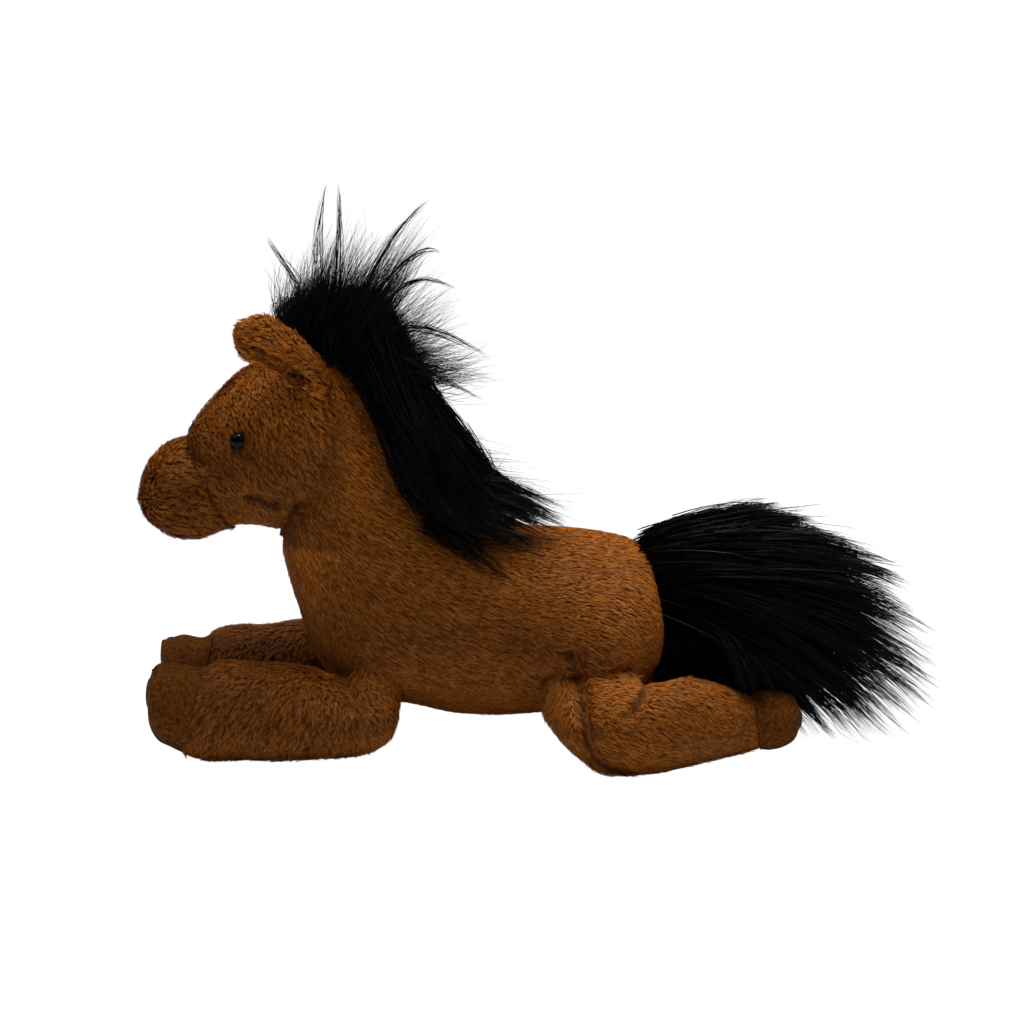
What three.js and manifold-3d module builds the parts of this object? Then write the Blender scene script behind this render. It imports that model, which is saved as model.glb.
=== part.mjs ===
// A lying plush horse: sewn skins of short pile over stuffing, suede hooves, bead eyes with lock
// washers, and a long-haired forelock, mane and tail. Millimetres, +Z up, floor at Z = 0, head
// towards -X, the horse's left side towards -Y. Each form is lofted through ribs: a rib has an
// upper and a lower point in the side view and a half width across, and its section is an oval.
import * as THREE from "three";
import { mergeVertices } from "three/addons/utils/BufferGeometryUtils.js";
import Module from "manifold-3d";

const wasm = await Module();
wasm.setup();

// Cloth, thread and clearances
const clothThickness = 2.2;
const seamGap = 0.35;
const floorFlat = 0.5;
const cutOverrun = 4;
const threadRadius = 0.6;
const cutterSpan = 400;

// Torso and neck
const backLength = 100;
const withersHeight = 100;
const bodyHalfWidth = 40;

// Head and muzzle
const headLength = 100;
const headHeight = 75;
const headHalfWidth = 28.5;
const muzzleLength = 28;
const muzzleHeight = 40;
const muzzleHalfWidth = 20;

// Ears
const earLength = 38;
const earHalfThickness = 7.5;
const liningDepth = 3;
const earDroopDegrees = { left: 0, right: 20 };

// Legs
const forelegLength = 102;
const forelegDepth = 40;
const forelegHalfWidth = 20;
const foreStance = 31;
const hindlegLength = 100;
const hindlegDepth = 40;
const hindlegHalfWidth = 20;
const hindStance = 51;

// Long hair
const maneHalfWidth = 33;
const forelockHalfWidth = 21;
const lockRadius = 3.4;
const hairRoom = 1.7;
const tailLength = 110;
const tailHeight = 100;
const tailHalfWidth = 32;

// Eyes, stitches and weight
const eyeRadius = 3.5;
const eyeBulge = 3;
const eyePostRadius = 1.3;
const eyePostLength = 9;
const washerRadius = 5.5;
const washerThickness = 1.2;
const nostrilStitchLength = 4;
const hoofTackLength = 4.5;
const chinKnotRadius = 1.4;
const pelletPouchLength = 62;
const pelletPouchWidth = 44;
const pelletPouchDepth = 15;

// How far each soft seam bends, in degrees
const headNodDegrees = 8;
const earFlapDegrees = 10;
const tailSwingDegrees = 15;
const forelegSwingDegrees = 8;
const hindlegRaiseDegrees = 4;
const hindlegLowerDegrees = 8;

// Facets
const torsoSides = 16;
const headSides = 14;
const limbSides = 12;
const hairSides = 12;
const beadSides = 12;
const earSides = 10;
const lockSides = 6;
const torsoRings = 17;
const torsoInnerRings = 12;
const headRings = 12;
const headInnerRings = 9;
const muzzleRings = 9;
const muzzleInnerRings = 7;
const legRings = 15;
const legInnerRings = 10;
const earRings = 7;
const liningRings = 6;
const forelockRings = 8;
const lockRings = 5;
const maneRings = 10;
const tailRings = 12;

// Ribs as shares of the form's own sizes, from its anchor point:
// upper X, upper Z, lower X, lower Z, half width, and sideways place on paired pieces.
const torsoRibShares = [
  [0.468, 0.658, 0.468, 0.474, 0.3],
  [0.44, 0.769, 0.44, 0.372, 0.6],
  [0.368, 0.828, 0.384, 0.282, 0.775],
  [0.24, 0.863, 0.24, 0.188, 0.91],
  [0.08, 0.883, 0.06, 0.131, 0.96],
  [-0.1, 0.892, -0.16, 0.106, 0.975],
  [-0.24, 0.924, -0.36, 0.115, 0.96],
  [-0.352, 0.986, -0.54, 0.151, 0.925],
  [-0.44, 1.076, -0.76, 0.18, 0.875],
  [-0.508, 1.17, -0.908, 0.352, 0.8],
  [-0.56, 1.272, -0.984, 0.577, 0.725],
  [-0.608, 1.374, -1.032, 0.76, 0.66],
  [-0.672, 1.464, -1.036, 0.859, 0.625],
];
const headRibShares = [
  [0.142, 0.447, -0.174, -0.387, 0.912],
  [0.046, 0.573, -0.154, -0.398, 0.965],
  [-0.066, 0.606, -0.182, -0.398, 1],
  [-0.186, 0.585, -0.218, -0.393, 0.982],
  [-0.286, 0.523, -0.258, -0.382, 0.93],
  [-0.378, 0.437, -0.298, -0.377, 0.86],
  [-0.454, 0.327, -0.33, -0.377, 0.79],
  [-0.522, 0.213, -0.354, -0.379, 0.719],
  [-0.57, 0.114, -0.378, -0.387, 0.667],
];
const muzzleRibShares = [
  [-0.514, 0.44, 0.143, -0.52, 1],
  [-0.686, 0.358, -0.114, -0.578, 1.05],
  [-0.829, 0.245, -0.429, -0.563, 1.025],
  [-0.929, 0.123, -0.686, -0.48, 0.9],
  [-0.979, 0, -0.871, -0.368, 0.65],
  [-0.996, -0.103, -0.979, -0.225, 0.3],
];
const forelegRibShares = [
  [-0.18, 1.1, -0.02, 1.05, 0.45, 0.8],
  [-0.224, 0.9, 0.002, 0.825, 0.8, 0.74],
  [-0.252, 0.775, -0.002, 0.525, 0.95, 0.84],
  [-0.28, 0.775, -0.04, 0.263, 0.975, 0.96],
  [-0.3, 0.85, -0.127, 0.088, 0.975, 1],
  [-0.353, 0.95, -0.252, 0.02, 0.975, 1],
  [-0.459, 0.995, -0.439, 0, 0.975, 1],
  [-0.576, 1.015, -0.588, 0, 0.975, 1],
  [-0.693, 1.015, -0.744, 0, 0.975, 1],
  [-0.775, 0.95, -0.85, 0.075, 0.93, 1],
  [-0.83, 0.975, -0.908, 0.15, 0.9, 1],
  [-0.908, 1, -0.955, 0.225, 0.85, 1],
  [-0.962, 0.965, -0.986, 0.375, 0.7, 1],
  [-0.99, 0.838, -0.996, 0.55, 0.4, 1],
];
const forelegSeamShare = 0.6923;
const hindlegRibShares = [
  [0.12, 1.35, 0.32, 1.425, 0.4, 0.6],
  [0.043, 1.1, 0.383, 1.25, 0.75, 0.63],
  [0, 0.85, 0.391, 1.05, 0.95, 0.74],
  [0, 0.588, 0.387, 0.9, 1, 0.87],
  [0.058, 0.358, 0.376, 0.82, 1, 0.98],
  [0.14, 0.165, 0.376, 0.783, 1, 1],
  [0.252, 0, 0.407, 0.89, 1, 1],
  [0.403, 0, 0.476, 0.938, 1, 0.97],
  [0.538, 0.03, 0.577, 0.95, 0.95, 0.89],
  [0.674, 0.075, 0.685, 0.85, 0.85, 0.78],
  [0.79, 0.113, 0.79, 0.725, 0.75, 0.66],
  [0.87, 0.15, 0.84, 0.675, 0.7, 0.6],
  [0.91, 0.1, 0.885, 0.688, 0.7, 0.575],
  [0.96, 0.12, 0.952, 0.69, 0.68, 0.555],
  [1.008, 0.188, 1.008, 0.625, 0.55, 0.53],
  [1.032, 0.3, 1.032, 0.5, 0.25, 0.52],
];
const hindlegSeamShare = 0.7333;
const tailRibShares = [
  [0, 0.814, 0.044, 0.577, 0.375],
  [0.091, 0.904, 0.058, 0.372, 0.625],
  [0.218, 0.961, 0.182, 0.258, 0.875],
  [0.382, 0.973, 0.345, 0.168, 1],
  [0.545, 0.928, 0.527, 0.098, 1],
  [0.691, 0.863, 0.673, 0.078, 0.906],
  [0.818, 0.773, 0.818, 0.07, 0.75],
  [0.927, 0.618, 0.945, 0.106, 0.53],
  [1, 0.454, 1.011, 0.209, 0.25],
  [1.05, 0.36, 1.055, 0.29, 0.1],
];
const maneRibShares = [
  [-0.71, 1.485, -0.53, 1.579, 0.727],
  [-0.66, 1.374, -0.46, 1.427, 0.909],
  [-0.636, 1.272, -0.368, 1.313, 0.97],
  [-0.616, 1.149, -0.27, 1.202, 1],
  [-0.576, 1.023, -0.19, 1.108, 1],
  [-0.496, 0.928, -0.12, 1.018, 0.97],
  [-0.384, 0.85, -0.052, 0.937, 0.909],
  [-0.24, 0.79, 0, 0.871, 0.727],
  [-0.1, 0.7, -0.04, 0.757, 0.364],
];
const forelockRibShares = [
  [-0.202, 0.758, -0.174, 0.665, 0.381],
  [-0.146, 0.899, -0.118, 0.571, 0.667],
  [-0.046, 0.965, -0.046, 0.529, 0.857],
  [0.074, 1.019, 0.014, 0.474, 0.952],
  [0.194, 1.031, 0.074, 0.421, 1],
  [0.274, 0.883, 0.126, 0.393, 0.952],
  [0.322, 0.693, 0.158, 0.409, 0.762],
];
// Wisps of the forelock: root, middle and tip, each as X and Z shares of the head and Y of its hair
const lockPathShares = [
  [[-0.08, 0.85, -0.2], [-0.15, 1.04, -0.3], [-0.234, 1.19, -0.35]],
  [[-0.03, 0.85, 0.25], [-0.03, 1.12, 0.3], [0.015, 1.37, 0.2]],
  [[0.046, 0.9, -0.1], [0.05, 1.2, -0.15], [0.054, 1.46, -0.1]],
  [[0.15, 0.9, 0.1], [0.27, 1.18, 0.15], [0.42, 1.36, 0.2]],
];
const lockTaperShares = [1, 0.85, 0.6, 0.3];
const earRibShares = [
  [0.08, 0.14, -0.06, -0.13, 0.53, 0],
  [-0.07, 0.41, -0.25, 0, 0.8, 0.06],
  [-0.25, 0.6, -0.41, 0.12, 0.93, 0.11],
  [-0.43, 0.76, -0.6, 0.23, 1, 0.15],
  [-0.62, 0.87, -0.8, 0.34, 0.93, 0.17],
  [-0.77, 0.87, -0.92, 0.46, 0.67, 0.2],
  [-0.87, 0.8, -0.95, 0.58, 0.33, 0.21],
];
const liningNarrowShare = 0.3;

// Anchors, as shares of the piece that carries them
const shoulderShare = -0.54;
const tailRootShare = 0.4;
const earAnchorShares = [0.03, 0.393, 0.7];
const shoulderPivotShares = [-0.12, 0.75];
const hipPivotShares = [0.2, 0.95];
const tailPivotShare = 0.42;
const eyePlaceShares = { along: 0.65, turn: 0.415 };
const nostrilPlaceShares = { along: 0.567, turn: 0.24 };
const chinPlaceShares = { along: 0.97, turn: 1 };
const hoofTackPlaceShares = { along: 0.923, turn: 0.08 };
const pouchCentreShares = [-0.1, 0.32];

const radians = Math.PI / 180;
const yAxis = new THREE.Vector3(0, 1, 0);
const zAxis = new THREE.Vector3(0, 0, 1);

// Evenly spaced values from low to high, both included.
function steps(low, high, count) {
  return Array.from({ length: count + 1 }, (_, i) => low + ((high - low) * i) / count);
}

// Turns a closed three.js geometry into a solid, outside out.
function solidOf(geometry) {
  const bare = geometry.clone();
  bare.deleteAttribute("normal");
  bare.deleteAttribute("uv");
  const merged = mergeVertices(bare);
  const at = merged.attributes.position;
  const index = Uint32Array.from(merged.index.array);
  const a = new THREE.Vector3();
  const b = new THREE.Vector3();
  const c = new THREE.Vector3();
  let volume = 0;
  for (let i = 0; i < index.length; i += 3) {
    a.fromBufferAttribute(at, index[i]);
    b.fromBufferAttribute(at, index[i + 1]);
    c.fromBufferAttribute(at, index[i + 2]);
    volume += a.dot(b.cross(c));
  }
  if (volume < 0) index.reverse();
  const mesh = new wasm.Mesh({
    numProp: 3,
    vertProperties: Float32Array.from(at.array),
    triVerts: index,
  });
  return new wasm.Manifold(mesh);
}

// The biggest separate lump of a solid, without the crumbs that a cut may leave.
function mainLump(solid) {
  const lumps = solid.decompose();
  return lumps.reduce((best, lump) => (lump.volume() > best.volume() ? lump : best));
}

// Turns rib shares into ribs: origin is the anchor, length, height and width the form's sizes.
function ribsFrom(shares, origin, length, height, width, stance = 0) {
  return shares.map(([upX, upZ, loX, loZ, half, aside = 0]) => ({
    upper: new THREE.Vector3(origin.x + upX * length, 0, origin.z + upZ * height),
    lower: new THREE.Vector3(origin.x + loX * length, 0, origin.z + loZ * height),
    across: new THREE.Vector3(half * width, origin.y + aside * stance, 0),
  }));
}

// Smooth curves through the ribs, and a function that gives the rib at any share of the way.
function spineOf(ribs) {
  const line = (key) =>
    new THREE.CatmullRomCurve3(ribs.map((rib) => rib[key]), false, "catmullrom", 0.5);
  const upper = line("upper");
  const lower = line("lower");
  const across = line("across");
  return (along) => {
    const top = upper.getPoint(along);
    const bottom = lower.getPoint(along);
    const wide = across.getPoint(along);
    const centre = top.clone().add(bottom).multiplyScalar(0.5).setY(wide.y);
    return { centre, half: top.sub(bottom).multiplyScalar(0.5), width: wide.x };
  };
}

// The share of the way at which a spine is a given distance in from its first or last rib.
function shareAt(rib, distance, fromEnd) {
  const steps = 400;
  const end = rib(fromEnd ? 1 : 0).centre;
  for (let i = 0; i <= steps; i += 1) {
    const along = fromEnd ? 1 - i / steps : i / steps;
    if (rib(along).centre.distanceTo(end) >= distance) return along;
  }
  return 1 / 2;
}

// A closed solid of oval rings along the ribs. inset draws it in from the true surface, and grows
// it where negative; open names the ends where an inner form runs on past the outer one.
function loft(ribs, rings, sides, inset = 0, open = {}) {
  const rib = spineOf(ribs);
  const wall = Math.max(Math.min(inset, clothThickness), 0);
  const first = open.start ? 0 : shareAt(rib, wall, false);
  const last = open.end ? 1 : shareAt(rib, wall, true);
  const sections = steps(first, last, rings).map(rib);
  const moved = (edge, next, distance) => {
    const out = edge.centre.clone().sub(next.centre).normalize();
    return { ...edge, centre: edge.centre.clone().addScaledVector(out, distance) };
  };
  const beyondWall = wall - inset;
  const [start, afterStart, beforeEnd, end] = [0, 1, -2, -1].map((i) => sections.at(i));
  if (open.start) sections.unshift(moved(start, afterStart, cutOverrun));
  else sections[0] = moved(start, afterStart, beyondWall);
  if (open.end) sections.push(moved(end, beforeEnd, cutOverrun));
  else sections[sections.length - 1] = moved(end, beforeEnd, beyondWall);
  const points = [];
  for (const { centre, half, width } of sections) {
    const tall = Math.max(half.length() - inset, clothThickness / 4);
    const wide = Math.max(width - inset, clothThickness / 4);
    const up = half.clone().setLength(tall);
    for (let k = 0; k < sides; k += 1) {
      const turn = (2 * Math.PI * k) / sides;
      const point = centre.clone().addScaledVector(up, Math.cos(turn));
      point.y += wide * Math.sin(turn);
      points.push(point);
    }
  }
  const index = [];
  for (let i = 0; i < sections.length - 1; i += 1) {
    for (let k = 0; k < sides; k += 1) {
      const a = i * sides + k;
      const b = i * sides + ((k + 1) % sides);
      index.push(a, a + sides, b, b, a + sides, b + sides);
    }
  }
  const capStart = points.push(sections[0].centre.clone()) - 1;
  const capEnd = points.push(sections.at(-1).centre.clone()) - 1;
  const lastRing = (sections.length - 1) * sides;
  for (let k = 0; k < sides; k += 1) {
    const next = (k + 1) % sides;
    index.push(capStart, k, next, capEnd, lastRing + next, lastRing + k);
  }
  const geometry = new THREE.BufferGeometry().setFromPoints(points);
  geometry.setIndex(index);
  return solidOf(geometry);
}

// A place on a form's surface: the point, and the direction straight out of the cloth there.
// turn runs from 0 on the upper line to 1 on the lower one; side is -1 for left, 1 for right.
function surfacePlace(ribs, { along, turn }, side) {
  const rib = spineOf(ribs);
  const at = (share, around) => {
    const { centre, half, width } = rib(share);
    const point = centre.clone().addScaledVector(half, Math.cos(around * Math.PI));
    point.y += side * width * Math.sin(around * Math.PI);
    return point;
  };
  const step = 0.01;
  const point = at(along, turn);
  const forward = at(Math.min(along + step, 1), turn).sub(at(along - step, turn));
  const around = at(along, turn + step).sub(at(along, turn - step));
  const out = forward.cross(around).normalize();
  if (out.dot(point.clone().sub(rib(along).centre)) < 0) out.negate();
  return { point, out };
}

// Everything on one side of the section at a share of the way, as a cutter: ahead is 1 past it
// and -1 before it.
function pastRib(ribs, along, ahead, clearance, turnDegrees = 0) {
  const rib = spineOf(ribs);
  const { centre, half } = rib(along);
  const step = 0.02;
  const onward = rib(Math.min(along + step, 1)).centre.sub(rib(Math.max(along - step, 0)).centre);
  const normal = new THREE.Vector3().crossVectors(yAxis, half).normalize();
  if (normal.dot(onward) * ahead < 0) normal.negate();
  normal.applyAxisAngle(yAxis, turnDegrees * radians);
  const box = new THREE.BoxGeometry(cutterSpan, cutterSpan, cutterSpan);
  const turn = new THREE.Quaternion().setFromUnitVectors(new THREE.Vector3(1, 0, 0), normal);
  const place = centre.clone().addScaledVector(normal, cutterSpan / 2 + clearance);
  box.applyMatrix4(new THREE.Matrix4().compose(place, turn, new THREE.Vector3(1, 1, 1)));
  return solidOf(box);
}

// The room that a fixed solid needs in a moving one: the fixed one turned back by each angle.
function sweepRoom(fixed, pivot, axis, angles) {
  const copies = angles.map((angle) => {
    const turn = new THREE.Matrix4().makeRotationAxis(axis, -angle * radians);
    const there = new THREE.Matrix4().makeTranslation(pivot.x, pivot.y, pivot.z);
    const back = new THREE.Matrix4().makeTranslation(-pivot.x, -pivot.y, -pivot.z);
    return fixed.transform(there.multiply(turn).multiply(back).toArray());
  });
  return copies.reduce((whole, copy) => whole.add(copy));
}

// A small solid of revolution or a stitch, set on a surface place with its axis straight out.
function setOn({ point, out }, geometry, lift) {
  const turn = new THREE.Quaternion().setFromUnitVectors(yAxis, out);
  const place = point.clone().addScaledVector(out, lift);
  return solidOf(
    geometry.clone().applyMatrix4(
      new THREE.Matrix4().compose(place, turn, new THREE.Vector3(1, 1, 1)),
    ),
  );
}

const colours = {
  pile: { color: 0x8c501e, roughness: 0.95 },
  longHair: { color: 0x1b1613, roughness: 0.7 },
  suede: { color: 0x3a3226, roughness: 0.9 },
  lining: { color: 0x8a5a30, roughness: 0.95 },
  bead: { color: 0x0a0807, roughness: 0.12 },
  washer: { color: 0xe8e6e0, roughness: 0.5 },
  stuffing: { color: 0xf1efe9, roughness: 1 },
  pouch: { color: 0xcfc8ba, roughness: 0.9 },
  thread: { color: 0x24190f, roughness: 0.8 },
};
const horse = new THREE.Group();
horse.name = "plush_horse";
// Where each soft seam bends: the point that its piece turns about, and the line it turns on
const seamBends = {};

// Adds one piece to the horse as a named mesh with its own material.
function addPiece(name, solid, look) {
  const mesh = mainLump(solid).getMesh();
  const geometry = new THREE.BufferGeometry();
  geometry.setAttribute("position", new THREE.BufferAttribute(mesh.vertProperties, 3));
  geometry.setIndex(new THREE.BufferAttribute(mesh.triVerts, 1));
  geometry.computeVertexNormals();
  const material = new THREE.MeshStandardMaterial({ ...colours[look], metalness: 0 });
  const piece = new THREE.Mesh(geometry, material);
  piece.name = name;
  horse.add(piece);
}

const floorPoint = new THREE.Vector3(0, 0, 0);
const floorCut = solidOf(
  new THREE.BoxGeometry(cutterSpan, cutterSpan, cutterSpan).translate(0, 0, -cutterSpan / 2),
);

// Torso and neck: one closed skin, open at the neck seam
const torsoRibs = ribsFrom(torsoRibShares, floorPoint, backLength, withersHeight, bodyHalfWidth);
const torsoOuter = loft(torsoRibs, torsoRings, torsoSides);
const torsoGrown = loft(torsoRibs, torsoRings, torsoSides, -seamGap);
const coreInset = clothThickness + seamGap;
const openNeck = { end: true };
const torsoInner = loft(torsoRibs, torsoInnerRings, limbSides, clothThickness, openNeck);
const pastNeck = pastRib(torsoRibs, 1, 1, 0);
const torsoCore = loft(torsoRibs, torsoInnerRings, limbSides, coreInset, openNeck).subtract(pastNeck);

// Head: meets the neck seam, with a wedge of room on both sides of its centre for the nod
const neckSeam = torsoRibs.at(-1);
const neckCentre = neckSeam.upper.clone().add(neckSeam.lower).multiplyScalar(0.5);
seamBends.head_nod = { at: neckCentre, axis: yAxis };
const headRibs = [
  neckSeam,
  ...ribsFrom(headRibShares, neckCentre, headLength, headHeight, headHalfWidth),
];
const nodAngles = steps(-headNodDegrees, headNodDegrees, 4);
const nodRoom = pastRib(headRibs, 0, -1, -seamGap, headNodDegrees).add(
  pastRib(headRibs, 0, -1, -seamGap, -headNodDegrees),
);
const headOuter = loft(headRibs, headRings, headSides);
const headGrown = loft(headRibs, headRings, headSides, -seamGap);
const throughHead = { start: true, end: true };
const headInner = loft(headRibs, headInnerRings, limbSides, clothThickness, throughHead);
const headCore = loft(headRibs, headInnerRings, limbSides, coreInset, throughHead);

// Muzzle: a separate panel sewn to the front of the head
const muzzleSeam = headRibs.at(-1);
const muzzleCentre = muzzleSeam.upper.clone().add(muzzleSeam.lower).multiplyScalar(0.5);
const muzzleRibs = [
  muzzleSeam,
  ...ribsFrom(muzzleRibShares, muzzleCentre, muzzleLength, muzzleHeight, muzzleHalfWidth),
];
const muzzleRoom = pastRib(muzzleRibs, 0, -1, -seamGap);
const muzzleOuter = loft(muzzleRibs, muzzleRings, headSides);
const muzzleInner = loft(muzzleRibs, muzzleInnerRings, limbSides, clothThickness, { start: true });
const muzzleCore = loft(muzzleRibs, muzzleInnerRings, limbSides, coreInset, { start: true });

// Eyes: a domed bead with a post through the cloth, held by a lock washer behind it
const domePoints = steps(0, 1, 5).map((share) => {
  const turn = (share * Math.PI) / 2;
  return new THREE.Vector2(eyeRadius * Math.sin(turn), eyeBulge * Math.cos(turn));
});
const eyeShape = new THREE.LatheGeometry(
  [
    ...domePoints,
    new THREE.Vector2(eyePostRadius, 0),
    new THREE.Vector2(eyePostRadius, -eyePostLength),
    new THREE.Vector2(0, -eyePostLength),
  ],
  beadSides,
);
const washerBore = eyePostRadius + seamGap;
const washerShape = new THREE.LatheGeometry(
  [
    new THREE.Vector2(washerBore, 0),
    new THREE.Vector2(washerBore, -washerThickness),
    new THREE.Vector2(washerRadius, -washerThickness),
    new THREE.Vector2(washerRadius, 0),
    new THREE.Vector2(washerBore, 0),
  ],
  beadSides,
);
const eyeHoleShape = new THREE.CylinderGeometry(
  washerBore,
  washerBore,
  2 * (eyePostLength + cutOverrun),
  beadSides,
);
const washerPocketDepth = washerThickness + 2 * seamGap;
const washerPocketShape = new THREE.CylinderGeometry(
  washerRadius + seamGap,
  washerRadius + seamGap,
  washerPocketDepth,
  beadSides,
).translate(0, -washerPocketDepth / 2, 0);
const domeCutShape = new THREE.CylinderGeometry(
  eyeRadius + seamGap,
  eyeRadius + seamGap,
  cutOverrun,
  beadSides,
).translate(0, cutOverrun / 2 - seamGap, 0);
const eyeSides = { left: -1, right: 1 };
let headSkin = headOuter.subtract(headInner).subtract(nodRoom);
const muzzleFront = pastRib(headRibs, 1, 1, 0);
headSkin = headSkin.subtract(muzzleFront);
let headFilling = headCore.subtract(muzzleFront).subtract(nodRoom);
headFilling = headFilling.add(muzzleCore);
headFilling = headFilling.subtract(pastRib(headRibs, 0, -1, -seamGap));
const washerDepth = clothThickness + 2 * seamGap;
for (const [side, sign] of Object.entries(eyeSides)) {
  const place = surfacePlace(headRibs, eyePlaceShares, sign);
  addPiece(`${side}_eye`, setOn(place, eyeShape, seamGap), "bead");
  addPiece(`${side}_eye_washer`, setOn(place, washerShape, -washerDepth), "washer");
  const hole = setOn(place, eyeHoleShape, 0);
  const pocket = setOn(place, washerPocketShape, seamGap - washerDepth);
  headSkin = headSkin.subtract(hole).subtract(setOn(place, domeCutShape, seamGap)).subtract(pocket);
  headFilling = headFilling.subtract(hole).subtract(pocket);
}
addPiece("head_skin", headSkin, "pile");
addPiece("head_filling", headFilling, "stuffing");
addPiece("muzzle_skin", muzzleOuter.subtract(muzzleInner).subtract(muzzleRoom), "pile");

// Stitches: a thread bar in each nostril, and the knot that ties off the seam under the chin
const stitchRise = threadRadius + seamGap;
for (const [side, sign] of Object.entries(eyeSides)) {
  const place = surfacePlace(muzzleRibs, nostrilPlaceShares, sign);
  const bar = new THREE.CapsuleGeometry(threadRadius, nostrilStitchLength, 3, 8).rotateX(
    Math.PI / 2,
  );
  addPiece(`${side}_nostril_stitch`, setOn(place, bar, stitchRise), "thread");
}
const knotPlace = surfacePlace(headRibs, chinPlaceShares, 1);
const knotShape = new THREE.IcosahedronGeometry(chinKnotRadius, 1);
addPiece("chin_knot", setOn(knotPlace, knotShape, chinKnotRadius + seamGap), "thread");

// Forelock: a tuft of long hair sewn over the poll, with wisps that stand up out of it
const forelockRibs = ribsFrom(
  forelockRibShares,
  neckCentre,
  headLength,
  headHeight,
  forelockHalfWidth,
);
const tuftRoom = loft(forelockRibs, forelockRings, hairSides, -seamGap);
let forelock = loft(forelockRibs, forelockRings, hairSides);
for (const path of lockPathShares) {
  const points = path.map(
    ([x, z, y]) =>
      new THREE.Vector3(
        neckCentre.x + x * headLength,
        y * forelockHalfWidth,
        neckCentre.z + z * headHeight,
      ),
  );
  const middle = new THREE.CatmullRomCurve3(points);
  const lockRibs = lockTaperShares.map((share, i) => {
    const along = i / (lockTaperShares.length - 1);
    const centre = middle.getPoint(along);
    const onward = middle.getTangent(along);
    const side = new THREE.Vector3().crossVectors(yAxis, onward).setLength(share * lockRadius);
    return {
      upper: centre.clone().add(side).setY(0),
      lower: centre.clone().sub(side).setY(0),
      across: new THREE.Vector3(share * lockRadius, centre.y, 0),
    };
  });
  forelock = forelock.add(loft(lockRibs, lockRings, lockSides));
}
const torsoNodRoom = sweepRoom(torsoGrown, neckCentre, yAxis, nodAngles);
forelock = forelock.subtract(headGrown).subtract(torsoNodRoom);
addPiece("forelock", forelock, "longHair");

// Ears: a folded pile outer with its lining showing in the fold, each swinging at its base
const earAngles = steps(-earFlapDegrees, earFlapDegrees, 2);
for (const [side, sign] of Object.entries(eyeSides)) {
  const anchor = new THREE.Vector3(
    neckCentre.x + earAnchorShares[0] * headLength,
    sign * earAnchorShares[2] * headHalfWidth,
    neckCentre.z + earAnchorShares[1] * headHeight,
  );
  const upright = ribsFrom(
    earRibShares,
    anchor,
    earLength,
    earLength,
    earHalfThickness,
    sign * earLength,
  );
  const droop = -earDroopDegrees[side] * radians;
  const drooped = (point) =>
    point.clone().sub(anchor).applyAxisAngle(yAxis, droop).add(anchor).setY(0);
  const earRibs = upright.map(({ upper, lower, across }) => ({
    upper: drooped(upper),
    lower: drooped(lower),
    across,
  }));
  const liningRibs = earRibs.map(({ upper, lower, across }) => ({
    upper: upper.clone().lerp(lower, liningNarrowShare),
    lower: lower.clone().lerp(upper, liningNarrowShare),
    across: new THREE.Vector3(liningDepth, across.y + sign * (across.x - liningDepth / 2), 0),
  }));
  const lining = loft(liningRibs, liningRings, lockSides);
  const liningRoom = loft(liningRibs, liningRings, lockSides, -seamGap);
  const tip = earRibs.at(-1).upper;
  const earLine = new THREE.Vector3(tip.x - anchor.x, 0, tip.z - anchor.z);
  const flapAxis = new THREE.Vector3().crossVectors(yAxis, earLine).normalize();
  seamBends[`${side}_ear_flap`] = { at: anchor, axis: flapAxis };
  const headRoom = sweepRoom(headGrown.add(tuftRoom), anchor, flapAxis, earAngles);
  const ear = loft(earRibs, earRings, earSides).subtract(headRoom);
  addPiece(`${side}_ear_outer`, ear.subtract(liningRoom), "pile");
  addPiece(`${side}_ear_lining`, lining.subtract(headRoom), "lining");
}

// Neck mane: long hair sewn along the crest, lying over both sides of the neck
const maneRibs = ribsFrom(maneRibShares, floorPoint, backLength, withersHeight, maneHalfWidth);
const headSwing = sweepRoom(headGrown.add(tuftRoom), neckCentre, yAxis, nodAngles);
const mane = loft(maneRibs, maneRings, hairSides).subtract(torsoGrown).subtract(headSwing);
addPiece("neck_mane", mane, "longHair");

// Torso skin, its stuffing, and the pouch of pellets that weighs the belly down
const pouchShape = new THREE.SphereGeometry(1, 14, 8).scale(
  pelletPouchLength / 2,
  pelletPouchWidth / 2,
  pelletPouchDepth / 2,
);
const pouchRoomShape = new THREE.SphereGeometry(1, 14, 8).scale(
  pelletPouchLength / 2 + seamGap,
  pelletPouchWidth / 2 + seamGap,
  pelletPouchDepth / 2 + seamGap,
);
const pouchX = pouchCentreShares[0] * backLength;
const pouchZ = pouchCentreShares[1] * withersHeight;
addPiece("torso_skin", torsoOuter.subtract(torsoInner), "pile");
const pouchRoom = solidOf(pouchRoomShape.translate(pouchX, 0, pouchZ));
const pouchSlot = new THREE.CylinderGeometry(threadRadius, threadRadius, withersHeight, 6)
  .rotateX(Math.PI / 2)
  .translate(pouchX, 0, pouchZ - withersHeight / 2);
addPiece("torso_filling", torsoCore.subtract(pouchRoom).subtract(solidOf(pouchSlot)), "stuffing");
addPiece("belly_pellet_pouch", solidOf(pouchShape.translate(pouchX, 0, pouchZ)), "pouch");

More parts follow.
